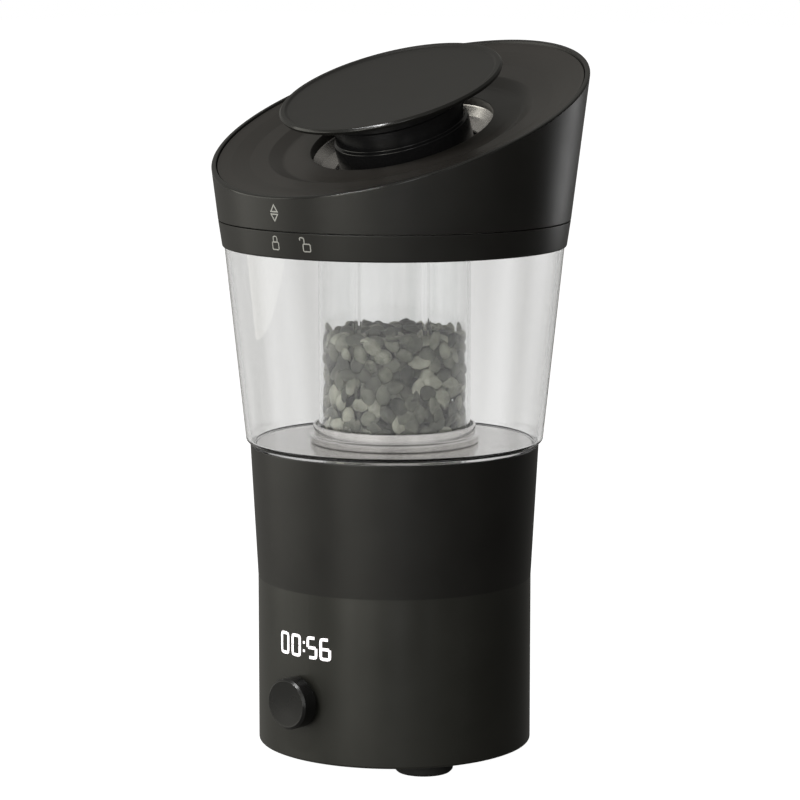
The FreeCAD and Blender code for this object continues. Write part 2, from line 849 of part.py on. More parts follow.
def fan_impeller():
    """Centrifugal wheel with backward-curved blades hanging from a back plate."""
    plate_low = impeller_bottom + impeller_blade_height
    plate_high = plate_low + impeller_plate
    body = turned("fan_impeller", [
        (shaft_radius, impeller_bottom),
        (impeller_hub, impeller_bottom),
        (impeller_hub, plate_low),
        (impeller_radius, plate_low),
        (impeller_radius, plate_high),
        (shaft_radius, plate_high),
    ])
    sketch = new_sketch(body, "blade_sketch", "XY_Plane", impeller_bottom)
    centre = Vector(0, blade_centre.number, 0)
    curves = (blade_curve, blade_curve + blade_thickness)
    rims = (impeller_eye, impeller_radius - press_gap)
    arcs = []
    meets = []
    for curve in curves:
        near = arc_meets(blade_centre.number, curve.number, rims[0].number)
        far = arc_meets(blade_centre.number, curve.number, rims[1].number)
        circle = Part.Circle(centre, Vector(0, 0, 1), curve.number)
        start = circle.parameter(near)
        end = circle.parameter(far)
        arcs.append(Part.ArcOfCircle(circle, start, end))
        meets.append((near, far))
    sketch.addGeometry(arcs, False)
    caps = [Part.LineSegment(meets[0][side], meets[1][side]) for side in (0, 1)]
    sketch.addGeometry(caps, False)
    guides = [Part.Circle(Vector(0, 0, 0), Vector(0, 0, 1), rim.number) for rim in rims]
    sketch.addGeometry(guides, True)
    constraints = [
        Sketcher.Constraint("PointOnObject", 0, 3, -2),
        Sketcher.Constraint("Coincident", 1, 3, 0, 3),
        Sketcher.Constraint("Coincident", 4, 3, -1, 1),
        Sketcher.Constraint("Coincident", 5, 3, -1, 1),
        Sketcher.Constraint("Coincident", 2, 1, 0, 1),
        Sketcher.Constraint("Coincident", 2, 2, 1, 1),
        Sketcher.Constraint("Coincident", 3, 1, 0, 2),
        Sketcher.Constraint("Coincident", 3, 2, 1, 2),
        Sketcher.Constraint("PointOnObject", 0, 1, 4),
        Sketcher.Constraint("PointOnObject", 1, 1, 4),
        Sketcher.Constraint("PointOnObject", 0, 2, 5),
        Sketcher.Constraint("PointOnObject", 1, 2, 5),
    ]
    sizes = [
        ("DistanceY", (-1, 1, 0, 3), blade_centre),
        ("Radius", (0,), curves[0]),
        ("Radius", (1,), curves[1]),
        ("Radius", (4,), rims[0]),
        ("Radius", (5,), rims[1]),
    ]
    for kind, which, value in sizes:
        constraints.append(Sketcher.Constraint(kind, *which, value.number))
    sketch.addConstraint(constraints)
    for index, (kind, which, value) in enumerate(sizes, len(constraints) - len(sizes)):
        sketch.setExpression("Constraints[%d]" % index, value.formula)
    blade = body.newObject("PartDesign::Pad", "blade")
    blade.Profile = sketch
    bind(blade, "Length", impeller_blade_height + impeller_plate / 2)
    sketch.Visibility = False
    doc.recompute()
    repeated(body, blade, "blades", blade_count)
    return body


def arc_meets(centre_height, curve_radius, rim_radius):
    """Where a circle centred on the Y axis meets a rim round the origin, on the +X side."""
    up = (rim_radius ** 2 - curve_radius ** 2 + centre_height ** 2) / (2 * centre_height)
    return Vector(math.sqrt(rim_radius ** 2 - up ** 2), up, 0)


def control_board():
    """Front circuit board that carries the display and the encoder."""
    card = block("control_card", board_width, board_thickness, board_height,
                 y=-(bracket_reach + board_thickness / 2), z=board_bottom)
    chip = block("control_chip", chip_width, chip_thickness, chip_width, x=board_width / 4,
                 y=-(bracket_reach + chip_thickness / 2), z=control_height)
    return joined("control_board", [card, chip])


def display_module():
    """Seven-segment display module behind the front wall."""
    middle = -(board_front + display_depth / 2)
    return block("display_module", display_width, display_depth, display_tall,
                 y=middle, z=display_height - display_tall / 2)


def encoder_body():
    """Encoder with the threaded bush that passes through the front wall."""
    middle = -(board_front + encoder_depth / 2)
    case = block("encoder_case", encoder_width, encoder_depth, encoder_width,
                 y=middle, z=control_height - encoder_width / 2)
    back = board_front + encoder_back
    bush = cylinder("encoder_thread", encoder_bush, base_radius - back,
                    y=-back, z=control_height, axis=Vector(1, 0, 0), angle=90)
    bore = cylinder("encoder_bore", spindle_radius + running_gap, base_radius,
                    y=-back, z=control_height, axis=Vector(1, 0, 0), angle=90)
    return cut_away("encoder_body", joined("encoder_solid", [case, bush]), bore)


plunger_back = board_front + encoder_back + press_travel + running_gap * 2
spindle_back = plunger_back + plunger_length
knob_back = base_radius + knob_gap
knob_front = knob_back + knob_length


def encoder_plunger():
    """Small push switch plunger at the bottom of the encoder's bore."""
    return cylinder("encoder_plunger", spindle_radius, plunger_length, y=-plunger_back,
                    z=control_height, axis=Vector(1, 0, 0), angle=90)


def encoder_shaft():
    """Spindle of the encoder, which turns with the knob."""
    return cylinder("encoder_shaft", spindle_radius, knob_back + knob_bore_depth - spindle_back,
                    y=-spindle_back, z=control_height, axis=Vector(1, 0, 0), angle=90)


def knob():
    """Round push-and-turn knob with a slightly dished face."""
    body = turned("knob", [
        (spindle_radius, knob_back),
        (knob_radius, knob_back),
        (knob_radius, knob_front),
        (knob_radius - knob_round * 2, knob_front),
        (0, knob_front - knob_dish),
        (0, knob_back + knob_bore_depth),
        (spindle_radius, knob_back + knob_bore_depth),
    ])
    rounded(body, "knob_edge", [(knob_radius, knob_front)], knob_round)
    return place(body, z=control_height, axis=Vector(1, 0, 0), angle=90)


def power_board():
    """Mains circuit board on the right with its capacitor, relay and choke."""
    middle = bracket_reach + board_thickness / 2
    card = block("power_card", board_thickness, board_width, board_height, x=middle, z=board_bottom)
    relay = block("relay", relay_width, relay_length, relay_height, x=board_front + relay_width / 2,
                  y=-(part_spacing + relay_length / 2), z=board_bottom + part_lift)
    choke = block("choke", choke_width, choke_length, relay_height, x=board_front + choke_width / 2,
                  y=part_spacing + choke_length / 2, z=board_bottom + part_lift)
    capacitor = block("capacitor", choke_width, capacitor_length, capacitor_height,
                      x=board_front + choke_width / 2, z=board_bottom + capacitor_lift)
    return joined("power_board", [card, relay, choke, capacitor])


inlet_face = base_radius - inlet_recess
inlet_back = blower_radius + slide_gap * 3
inlet_depth = inlet_face - inlet_back


def power_inlet():
    """Appliance inlet in the back wall, for a lead that is not part of the object."""
    middle = (inlet_face + inlet_back) / 2
    case = block("inlet_case", inlet_width, inlet_depth, inlet_tall,
                 y=middle, z=inlet_height - inlet_tall / 2)
    hollow = block("inlet_hollow", inlet_width - inlet_wall * 2, inlet_depth,
                   inlet_tall - inlet_wall * 2, y=middle + inlet_floor,
                   z=inlet_height - inlet_tall / 2 + inlet_wall)
    return cut_away("power_inlet", case, hollow)


def inlet_pins():
    """Three flat pins in the inlet, the middle one set higher."""
    pins = []
    start = inlet_back + inlet_floor
    for number, step in enumerate((-1, 0, 1)):
        rise = pin_rise if step == 0 else zero
        pins.append(block("inlet_pin_%d" % (number + 1), pin_thickness, pin_length, pin_width,
                          x=pin_spacing * step, y=start + pin_length / 2,
                          z=inlet_height - pin_width / 2 + rise))
    return pins


def roast_glass():
    """Glass tube in which the beans float and roast."""
    return turned("roast_glass", rectangle(glass_inner, glass_radius, collar_shelf, glass_top))


def glass_collar():
    """Steel collar round the foot of the glass, with a spigot that drops into the throat."""
    spigot = throat_bore - slide_gap
    seat = glass_radius + seal_width
    return turned("glass_collar", [
        (spigot - spigot_wall, collar_base - spigot_length),
        (spigot, collar_base - spigot_length),
        (spigot, collar_base),
        (collar_radius - collar_bevel, collar_base),
        (collar_radius, collar_base + collar_bevel),
        (collar_radius, collar_top - collar_bevel),
        (collar_radius - collar_bevel, collar_top),
        (seat, collar_top),
        (seat, collar_shelf),
        (spigot - spigot_wall, collar_shelf),
    ])


def glass_seal():
    """Silicone ring between the glass and its collar."""
    top = collar_top - collar_bevel
    return turned("glass_seal", rectangle(glass_radius, glass_radius + seal_width, collar_shelf, top))


def swirl_plate():
    """Slotted plate under the beans."""
    rim = glass_inner - press_gap
    body = turned("swirl_plate", [(0, collar_shelf), (rim, collar_shelf), (rim, swirl_top), (0, swirl_top)])
    slotted(body, "swirl_slots", swirl_slot_inner, swirl_slot_outer, swirl_slot_width, swirl_slot_count)
    return body


def coffee_beans():
    """The load of beans, as one body with a low crown."""
    edge = glass_inner - soft_gap
    return turned("coffee_beans", [
        (0, swirl_top),
        (edge, swirl_top),
        (edge, bean_level - bean_crown),
        (edge / 2, bean_level - bean_crown / 4),
        (0, bean_level),
    ])


def collector_body():
    """Clear flared shell that catches the chaff, open at both ends."""
    bore = shell_top_radius - shell_wall
    body = turned("collector_body", [
        (rim_inner + slide_gap, base_top),
        (base_top_radius - shell_foot_inset, base_top),
        (shell_low_radius, shell_low),
        (shell_top_radius, ring_bottom),
        (tenon_radius, ring_bottom),
        (tenon_radius, tenon_top),
        (bore, tenon_top),
        (bore, ring_bottom),
        (shell_low_radius - shell_wall, shell_low + shell_wall / 4),
        (rim_inner + slide_gap, base_top + shell_wall),
    ])
    rounded(body, "shell_foot", [(shell_low_radius, shell_low)], shell_foot_round)
    return body


def collector_ring():
    """Ring bonded round the top of the shell, with a gasket groove and three inward lugs."""
    body = turned("collector_ring", [
        (tenon_radius, ring_bottom),
        (ring_low_radius, ring_bottom),
        (ring_top_radius, ring_top),
        (gasket_outer, ring_top),
        (gasket_outer, ring_top - gasket_depth),
        (gasket_inner, ring_top - gasket_depth),
        (gasket_inner, ring_top),
        (ring_bore, ring_top),
        (ring_bore, tenon_top),
        (tenon_radius, tenon_top),
    ])
    rounded(body, "ring_edge", [(ring_low_radius, ring_bottom)], ring_round)
    lug = turned("ring_lug", rectangle(ring_bore - lug_reach, ring_bore + lug_root, tenon_top, ring_top),
                 body=body, angle=lug_angle)
    repeated(body, lug, "ring_lugs", lug_count)
    return body


def ring_gasket():
    """Soft gasket in the ring's groove, on which the lid turns."""
    return turned("ring_gasket", rectangle(gasket_inner, gasket_outer, ring_top - gasket_depth, lid_bottom))


def lid_outer(height):
    """Outer radius of the lid's flared wall at a height."""
    return ring_top_radius + seam_gap * tangent(lid_flare_angle) + (height - lid_bottom) * tangent(lid_flare_angle)


def lid_shell():
    """Flared lid wall cut off on the slant_angle, with its floor, skirt and bayonet lugs."""
    peak = slant_height + base_radius
    body = turned("lid_shell", [
        (lid_outer(lid_bottom), lid_bottom),
        (lid_outer(peak), peak),
        (lid_outer(peak) - lid_wall, peak),
        (lid_outer(lid_floor_top) - lid_wall, lid_floor_top),
        (skirt_radius - skirt_wall, lid_floor_top),
        (skirt_radius - skirt_wall, skirt_bottom),
        (skirt_radius, skirt_bottom),
        (skirt_radius, lid_bottom),
    ])
    wedge = new_sketch(body, "slant_sketch", "YZ_Plane")
    reach = base_radius * 2
    rise = reach * tangent(slant_angle)
    ceiling = peak + reach
    draw(wedge, [[
        (-reach, slant_height - rise),
        (reach, slant_height + rise),
        (reach, ceiling),
        (-reach, ceiling),
    ]])
    cut_through(body, "slant_cut", wedge)
    lug_top = tenon_top - soft_gap
    lug = turned("lid_lug", rectangle(skirt_radius - lug_root, skirt_radius + lug_reach - soft_gap,
                                      lug_top - lug_height, lug_top), body=body, angle=lug_angle)
    repeated(body, lug, "lid_lugs", lug_count)
    return body


def mesh_filter():
    """Slotted steel disc over the lid's floor, which keeps the chaff below."""
    rim = skirt_radius - skirt_wall + filter_overlap
    body = turned("mesh_filter", [(0, lid_floor_top), (rim, lid_floor_top), (rim, filter_top), (0, filter_top)])
    slotted(body, "filter_slots", filter_slot_inner, filter_slot_outer, filter_slot_width, filter_slot_count)
    return body


def vent_dish():
    """Shallow dish that fills the slanted rim round the air outlet."""
    edge = base_radius * 2
    lid_inner_radius = lid_outer(slant_height) - lid_wall
    moat = above_hub_bottom(dish_moat_drop)
    band = above_hub_bottom(dish_band_drop)
    edge_rise = (edge - lid_inner_radius) * tangent(dish_edge_angle)
    lip = above_hub_bottom(dish_edge_drop) + edge_rise
    body = turned("dish_form", [
        (outlet_radius + press_gap, moat),
        (dish_moat_radius, moat),
        (dish_band_radius, band),
        (edge, lip),
        (edge, lip - dish_thickness),
        (dish_band_radius, band - dish_thickness),
        (dish_moat_radius, moat - dish_thickness),
        (outlet_radius + press_gap, moat - dish_thickness),
    ])
    tilt(body)
    peak = slant_height + base_radius
    inside = turned("lid_inside", [
        (0, lid_floor_top),
        (lid_outer(lid_floor_top) - lid_wall - press_gap, lid_floor_top),
        (lid_outer(peak) - lid_wall - press_gap, peak),
        (0, peak),
    ])
    return common("vent_dish", body, inside)


def exhaust_throat():
    """Polished steel tube of the outlet, with a flange on the dish."""
    flange = above_hub_bottom(dish_moat_drop)
    body = turned("exhaust_throat", [
        (outlet_radius - outlet_sheet, above_hub_bottom(outlet_drop)),
        (outlet_radius, above_hub_bottom(outlet_drop)),
        (outlet_radius, flange),
        (outlet_radius + outlet_flange, flange),
        (outlet_radius + outlet_flange, flange + outlet_sheet),
        (outlet_radius - outlet_sheet, flange + outlet_sheet),
    ])
    return tilt(body)


def exhaust_grille():
    """Slotted steel ring between the hub and the outlet tube."""
    low = above_hub_bottom(grille_drop)
    rim = outlet_radius - outlet_sheet - press_gap
    body = turned("exhaust_grille", rectangle(hub_radius + press_gap, rim, low, low + grille_thickness))
    inner = hub_radius + grille_margin
    outer = outlet_radius - outlet_sheet - grille_margin
    slotted(body, "grille_slots", inner, outer, grille_slot_width, grille_slot_count)
    return tilt(body)


def vent_hub():
    """Hollow hub that stands in the outlet and carries the disc."""
    top = above_hub_bottom(-(disc_rise - disc_thickness))
    body = turned("vent_hub", [
        (hub_radius - hub_wall, 0),
        (hub_radius, 0),
        (hub_radius, top),
        (0, top),
        (0, top - hub_wall),
        (hub_radius - hub_wall, top - hub_wall),
    ])
    return tilt(body)


def vent_disc():
    """Slightly dished disc that floats over the outlet."""
    top = above_hub_bottom(-disc_rise)
    low = top - disc_thickness
    body = turned("vent_disc", [
        (0, low),
        (disc_radius - disc_bead, low),
        (disc_radius - disc_edge, low + disc_edge),
        (disc_radius, top - disc_edge),
        (disc_radius - disc_edge, top),
        (disc_radius - disc_edge * 2, top),
        (disc_radius - disc_bead, top - disc_edge),
        (0, top - disc_dish),
    ])
    return tilt(body)


doc.recompute()

parts = [
    base_housing(),
    bottom_cover(),
    rubber_foot("foot_front_left", -foot_direction_angle),
    rubber_foot("foot_front_right", foot_direction_angle),
    rubber_foot("foot_back", foot_direction_angle * foot_count),
    floor_plate(),
    throat_ring(),
    blower_housing(),
    duct_cone(),
    heater_tube(),
    heater_former(),
    thermocouple_probe(),
    thermal_cutoff(),
    fan_motor(),
    motor_mount(),
    motor_shaft(),
    fan_impeller(),
    control_board(),
    display_module(),
    encoder_body(),
    encoder_plunger(),
    encoder_shaft(),
    knob(),
    power_board(),
    power_inlet(),
    *inlet_pins(),
    roast_glass(),
    glass_collar(),
    glass_seal(),
    swirl_plate(),
    coffee_beans(),
    collector_body(),
    collector_ring(),
    ring_gasket(),
    lid_shell(),
    mesh_filter(),
    vent_dish(),
    exhaust_throat(),
    exhaust_grille(),
    vent_hub(),
    vent_disc(),
]

doc.recompute()

for thing in doc.Objects:
    if "Invalid" in thing.State or "Error" in thing.State:
        raise ValueError(thing.Name + " did not recompute")
for part in parts:
    if part.Shape.isNull() or not part.Shape.isValid():
        raise ValueError(part.Label + " has no valid shape")

os.makedirs("parts", exist_ok=True)
for part in parts:
    part.Shape.exportStep("parts/%s.step" % part.Label)
    print("%-20s %2d solids %10.1f mm3" % (part.Label, len(part.Shape.Solids), part.Shape.Volume))
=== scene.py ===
import json
import math
import random

import bmesh
import bpy
from mathutils import Matrix, Vector


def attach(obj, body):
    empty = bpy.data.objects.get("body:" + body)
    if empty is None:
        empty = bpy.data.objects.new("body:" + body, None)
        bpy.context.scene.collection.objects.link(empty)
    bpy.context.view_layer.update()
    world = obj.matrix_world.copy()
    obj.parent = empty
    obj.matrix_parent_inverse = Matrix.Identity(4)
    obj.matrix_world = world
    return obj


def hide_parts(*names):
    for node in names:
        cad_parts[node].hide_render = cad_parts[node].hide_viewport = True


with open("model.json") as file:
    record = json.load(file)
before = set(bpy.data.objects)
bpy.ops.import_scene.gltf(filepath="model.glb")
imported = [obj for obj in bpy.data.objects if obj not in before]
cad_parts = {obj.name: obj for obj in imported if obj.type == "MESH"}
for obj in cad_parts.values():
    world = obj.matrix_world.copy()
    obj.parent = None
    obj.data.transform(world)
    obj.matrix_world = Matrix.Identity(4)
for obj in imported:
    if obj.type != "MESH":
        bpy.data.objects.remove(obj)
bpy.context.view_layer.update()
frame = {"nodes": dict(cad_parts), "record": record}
nodes = frame["nodes"]
MM = 0.001


def place_camera():
    """Camera at the photograph's viewing angle, a little above the lid."""
    azimuth = math.radians(42.5)
    distance = 1.613
    height = 0.4085
    pitch = math.radians(8.35)
    camera = bpy.data.objects.new("camera", bpy.data.cameras.new("camera"))
    camera.location = (distance * math.sin(azimuth), -distance * math.cos(azimuth), height)
    camera.rotation_euler = (math.pi / 2 - pitch, 0, azimuth)
    camera.data.sensor_width = 36
    camera.data.lens = 152.3
    camera.data.shift_x = 0.0068
    camera.data.clip_end = 20
    bpy.context.scene.collection.objects.link(camera)
    bpy.context.scene.camera = camera


place_camera()


def new_material(name):
    """A new material with its node tree and its main shader."""
    material = bpy.data.materials.new(name)
    material.use_nodes = True
    shader = material.node_tree.nodes["Principled BSDF"]
    return material, material.node_tree, shader


def add_node(tree, kind, inputs=None, **settings):
    """Add a shader node, set its properties and its input values."""
    node = tree.nodes.new(kind)
    for key, value in settings.items():
        setattr(node, key, value)
    for key, value in (inputs or {}).items():
        node.inputs[key].default_value = value
    return node


def object_noise(tree, scale, detail, roughness=0.55):
    """Noise that stays with the piece, with scale given in cells per metre."""
    place = add_node(tree, "ShaderNodeTexCoord")
    settings = {"Scale": scale, "Detail": detail, "Roughness": roughness}
    noise = add_node(tree, "ShaderNodeTexNoise", settings)
    tree.links.new(place.outputs["Object"], noise.inputs["Vector"])
    return noise


def spread(tree, source, low, high):
    """Map a 0 to 1 value onto the range from low to high."""
    ends = {"From Min": 0.25, "From Max": 0.75, "To Min": low, "To Max": high}
    mapped = add_node(tree, "ShaderNodeMapRange", ends)
    tree.links.new(source, mapped.inputs["Value"])
    return mapped.outputs["Result"]


def add_bump(tree, shader, height, strength, distance):
    """Let a value raise the surface a little; distance is in metres."""
    bump = add_node(tree, "ShaderNodeBump", {"Strength": strength, "Distance": distance})
    tree.links.new(height, bump.inputs["Height"])
    tree.links.new(bump.outputs["Normal"], shader.inputs["Normal"])


def tinted(tree, shader, dark, light, source):
    """Let the colour drift between two close shades."""
    ramp = add_node(tree, "ShaderNodeValToRGB")
    ramp.color_ramp.elements[0].color = (*dark, 1)
    ramp.color_ramp.elements[0].position = 0.3
    ramp.color_ramp.elements[1].color = (*light, 1)
    ramp.color_ramp.elements[1].position = 0.7
    tree.links.new(source, ramp.inputs["Fac"])
    tree.links.new(ramp.outputs["Color"], shader.inputs["Base Color"])


def satin_plastic(name, dark, light, rough_low, rough_high, grain=2600, bump=0.12):
    """Moulded plastic with a fine spark-eroded grain and faint cloudiness."""
    material, tree, shader = new_material(name)
    cloud = object_noise(tree, 28, 2)
    tinted(tree, shader, dark, light, cloud.outputs["Fac"])
    tree.links.new(spread(tree, cloud.outputs["Fac"], rough_low, rough_high), shader.inputs["Roughness"])
    fine = object_noise(tree, grain, 2)
    add_bump(tree, shader, fine.outputs["Fac"], bump, 0.00004)
    return material


def polished_metal(name, dark, light, rough_low, rough_high, bump=0.02):
    """Polished or satin metal with a faintly uneven finish."""
    material, tree, shader = new_material(name)
    shader.inputs["Metallic"].default_value = 1.0
    cloud = object_noise(tree, 60, 4)
    tinted(tree, shader, dark, light, cloud.outputs["Fac"])
    fine = object_noise(tree, 900, 3)
    tree.links.new(spread(tree, fine.outputs["Fac"], rough_low, rough_high), shader.inputs["Roughness"])
    add_bump(tree, shader, fine.outputs["Fac"], bump, 0.00003)
    return material


def clear_material(name, darker_tint, thin, streaks, ripple, ripple_scale):
    """Clear glass or moulded plastic with a faint ripple, and upright streaks of painted reflection
    running between a darker and a lighter tint.
    """
    material, tree, shader = new_material(name)
    place = add_node(tree, "ShaderNodeTexCoord")
    upright = add_node(tree, "ShaderNodeMapping", {"Scale": (1, 1, 0.02)})
    tree.links.new(place.outputs["Object"], upright.inputs["Vector"])
    # Painted reflection: stretched noise lays upright light streaks in the thin tint over the darker tint,
    # standing for strip lights mirrored in the walls
    streak = add_node(tree, "ShaderNodeTexNoise", {"Scale": streaks, "Detail": 1.5})
    tree.links.new(upright.outputs["Vector"], streak.inputs["Vector"])
    tinted(tree, shader, darker_tint, thin, streak.outputs["Fac"])
    shader.inputs["Transmission Weight"].default_value = 1.0
    shader.inputs["IOR"].default_value = 1.46
    shader.inputs["Roughness"].default_value = 0.0
    wave = object_noise(tree, ripple_scale, 1)
    add_bump(tree, shader, wave.outputs["Fac"], ripple, 0.0004)
    return material


def soft_rubber(name, dark, light):
    """Matt rubber with a fine grain."""
    material, tree, shader = new_material(name)
    cloud = object_noise(tree, 120, 3)
    tinted(tree, shader, dark, light, cloud.outputs["Fac"])
    shader.inputs["Roughness"].default_value = 0.75
    fine = object_noise(tree, 1500, 2)
    add_bump(tree, shader, fine.outputs["Fac"], 0.2, 0.00005)
    return material


def bean_material():
    """Dry green coffee: each bean has its own shade, with paler skin in patches."""
    material, tree, shader = new_material("green_beans")
    island = add_node(tree, "ShaderNodeNewGeometry")
    patch = object_noise(tree, 220, 3)
    blend = add_node(tree, "ShaderNodeMath", {1: 0.55}, operation="MULTIPLY")
    tree.links.new(patch.outputs["Fac"], blend.inputs[0])
    total = add_node(tree, "ShaderNodeMath", {1: 0.62}, operation="MULTIPLY_ADD")
    tree.links.new(island.outputs["Random Per Island"], total.inputs[0])
    tree.links.new(blend.outputs[0], total.inputs[2])
    ramp = add_node(tree, "ShaderNodeValToRGB")
    ramp.color_ramp.elements[0].color = (0.024, 0.026, 0.018, 1)
    ramp.color_ramp.elements[0].position = 0.2
    ramp.color_ramp.elements[1].color = (0.62, 0.62, 0.50, 1)
    ramp.color_ramp.elements[1].position = 0.95
    middle = ramp.color_ramp.elements.new(0.6)
    middle.color = (0.21, 0.215, 0.165, 1)
    tree.links.new(total.outputs[0], ramp.inputs["Fac"])
    tree.links.new(ramp.outputs["Color"], shader.inputs["Base Color"])
    shader.inputs["Roughness"].default_value = 0.5
    fine = object_noise(tree, 900, 3)
    add_bump(tree, shader, fine.outputs["Fac"], 0.4, 0.0002)
    return material


def glowing(name, colour, strength):
    """Lit segments behind a thin dark skin, a little uneven."""
    material, tree, shader = new_material(name)
    shader.inputs["Base Color"].default_value = (0.5, 0.5, 0.5, 1)
    shader.inputs["Roughness"].default_value = 0.4
    cloud = object_noise(tree, 260, 2)
    tree.links.new(spread(tree, cloud.outputs["Fac"], strength * 0.9, strength * 1.1),
                   shader.inputs["Emission Strength"])
    shader.inputs["Emission Color"].default_value = (*colour, 1)
    return material


housing_plastic = satin_plastic(
    "housing_plastic", (0.013, 0.0125, 0.0115), (0.018, 0.0175, 0.016), 0.33, 0.40)
# Lower band: glossier than the housing, and its colour painted lighter as painted sheen for the brighter
# reflection below the flare
band_painted_sheen = satin_plastic("band_painted_sheen", (0.0215, 0.0215, 0.0185), (0.027, 0.027, 0.0235), 0.27, 0.33)
# The dish is the housing's plastic painted lighter and warmer: painted light in the hollow that the rim
# and the disc shade
dish_plastic_painted_light = satin_plastic("dish_plastic_painted_light", (0.026, 0.0235, 0.021), (0.034, 0.031, 0.028), 0.30, 0.38)
cover_plastic = satin_plastic("cover_plastic", (0.012, 0.012, 0.012), (0.018, 0.018, 0.018), 0.5, 0.6)
foot_rubber = soft_rubber("foot_rubber", (0.010, 0.010, 0.010), (0.018, 0.018, 0.018))
polished_steel = polished_metal("polished_steel", (0.57, 0.555, 0.54), (0.66, 0.645, 0.625), 0.06, 0.14)
# Steel of the outlet funnel, painted much paler than the polished steel: painted reflection for the pale
# patches seen under the disc
funnel_steel_painted_pale = polished_metal("funnel_steel_painted_pale", (0.93, 0.90, 0.885), (0.97, 0.945, 0.93), 0.24, 0.32)
satin_steel = polished_metal("satin_steel", (0.5, 0.5, 0.5), (0.6, 0.6, 0.59), 0.28, 0.4, 0.06)
motor_steel = polished_metal("motor_steel", (0.42, 0.42, 0.42), (0.5, 0.5, 0.5), 0.35, 0.45, 0.06)
cast_aluminium = polished_metal("cast_aluminium", (0.55, 0.55, 0.55), (0.62, 0.62, 0.62), 0.35, 0.5, 0.1)
pin_brass = polished_metal("pin_brass", (0.6, 0.52, 0.34), (0.7, 0.62, 0.42), 0.2, 0.3)
inner_plastic = satin_plastic("inner_plastic", (0.05, 0.05, 0.05), (0.07, 0.07, 0.07), 0.5, 0.6)
impeller_plastic = satin_plastic("impeller_plastic", (0.55, 0.55, 0.52), (0.62, 0.62, 0.58), 0.45, 0.55)
circuit_board = satin_plastic(
    "circuit_board", (0.01, 0.08, 0.03), (0.015, 0.11, 0.045), 0.3, 0.4, 900, 0.05)
display_black = satin_plastic("display_black", (0.008, 0.008, 0.008), (0.012, 0.012, 0.012), 0.15, 0.25)
inlet_plastic = satin_plastic("inlet_plastic", (0.010, 0.010, 0.010), (0.014, 0.014, 0.014), 0.25, 0.35)
mica = satin_plastic("mica", (0.42, 0.35, 0.24), (0.55, 0.47, 0.33), 0.5, 0.6)
seal_rubber = soft_rubber("seal_rubber", (0.45, 0.45, 0.44), (0.55, 0.55, 0.54))
# Both clear materials carry upright streaks of painted reflection in their tint
chamber_glass = clear_material("chamber_glass", (0.90, 0.91, 0.905), (1.0, 1.0, 1.0), 170, 0.03, 14)
collector_clear = clear_material("collector_clear", (0.71, 0.71, 0.705), (0.88, 0.88, 0.88), 40, 0.05, 22)
green_beans = bean_material()
knob_gloss = satin_plastic(
    "knob_gloss", (0.006, 0.006, 0.006), (0.009, 0.009, 0.009), 0.24, 0.30, 2200, 0.06)
lip_gloss = satin_plastic(
    "lip_gloss", (0.012, 0.012, 0.011), (0.016, 0.016, 0.015), 0.14, 0.19, 2200, 0.03)
hub_gloss = satin_plastic(
    "hub_gloss", (0.010, 0.010, 0.011), (0.014, 0.014, 0.015), 0.16, 0.22, 2200, 0.04)
bean_shadow = satin_plastic("bean_shadow", (0.03, 0.032, 0.024), (0.05, 0.052, 0.04), 0.8, 0.9, 500, 0.4)
print_grey = satin_plastic(
    "print_grey", (0.36, 0.36, 0.34), (0.43, 0.43, 0.41), 0.45, 0.55, 3000, 0.05)
display_glow = glowing("display_glow", (1.0, 0.93, 0.96), 1.5)

SLOT_MATERIALS = {
    "housing_plastic": housing_plastic,
    "cover_plastic": cover_plastic,
    "foot_rubber": foot_rubber,
    "polished_steel": polished_steel,
    "cast_aluminium": cast_aluminium,
    "inner_plastic": inner_plastic,
    "satin_steel": satin_steel,
    "mica": mica,
    "motor_steel": motor_steel,
    "impeller_plastic": impeller_plastic,
    "circuit_board": circuit_board,
    "display_black": display_black,
    "knob_plastic": knob_gloss,
    "inlet_plastic": inlet_plastic,
    "pin_brass": pin_brass,
    "chamber_glass": chamber_glass,
    "seal_rubber": seal_rubber,
    "green_beans": green_beans,
    "collector_clear": collector_clear,
}


def dress_nodes():
    """Give each carried-over node the material of its slot."""
    for entry in frame["record"]["subparts"]:
        mesh = nodes[entry["node"]].data
        mesh.materials.clear()
        mesh.materials.append(SLOT_MATERIALS[entry["material_slot"]])


dress_nodes()


# Sizes in millimetres, the same as in the solid model
TABLE_GAP = 6.0
HOUSING_RADIUS = 66.0
HOUSING_INNER = 63.5
COVER_SEAT = 8.5
COVER_SEAT_TOP = 11
COVER_SEAT_RADIUS = 60
FLARE_START = 87.0
FLARE_SPREAD = math.tan(math.radians(3.1))
DECK = 149.5
DECK_BOTTOM = 147
DECK_HOLE = 31.55
BASE_TOP = 151.0
BASE_TOP_RADIUS = 69.466
RIM_INNER = 67.066
PLATE_TOP = 152.3
PLATE_RADIUS = 66.766
PLATE_HOLE = 34.1
PLATE_SHEET = 0.8
FOOT_DISTANCE = 46
SCREW_DISTANCE = 54
KNOB_HEIGHT = 35.0
KNOB_RADIUS = 12.2
KNOB_BACK = 67.0
KNOB_FRONT = 76.0
INLET_MIDDLE = 30
INLET_WIDTH = 28
INLET_TALL = 21
DISPLAY_HEIGHT = 61.6
GLASS_RADIUS = 36.5
GLASS_INNER = 35.1
GLASS_BOTTOM = 154.5
GLASS_TOP = 249.4
BEAN_FLOOR = 155.7
BEAN_REACH = 34.8
SHELL_BORE = 67.4
SHELL_LOW_RADIUS = 71.466
SHELL_TOP_RADIUS = 81.333
TENON_TOP = 255.0
RING_BOTTOM = 246.7
RING_TOP = 259.2
RING_LOW_RADIUS = 82.333
RING_TOP_RADIUS = 84.233
LID_BOTTOM = 259.6
LID_LOW_RADIUS = 84.283
LID_SPREAD = math.tan(math.radians(7.1))
LID_WALL = 2.4
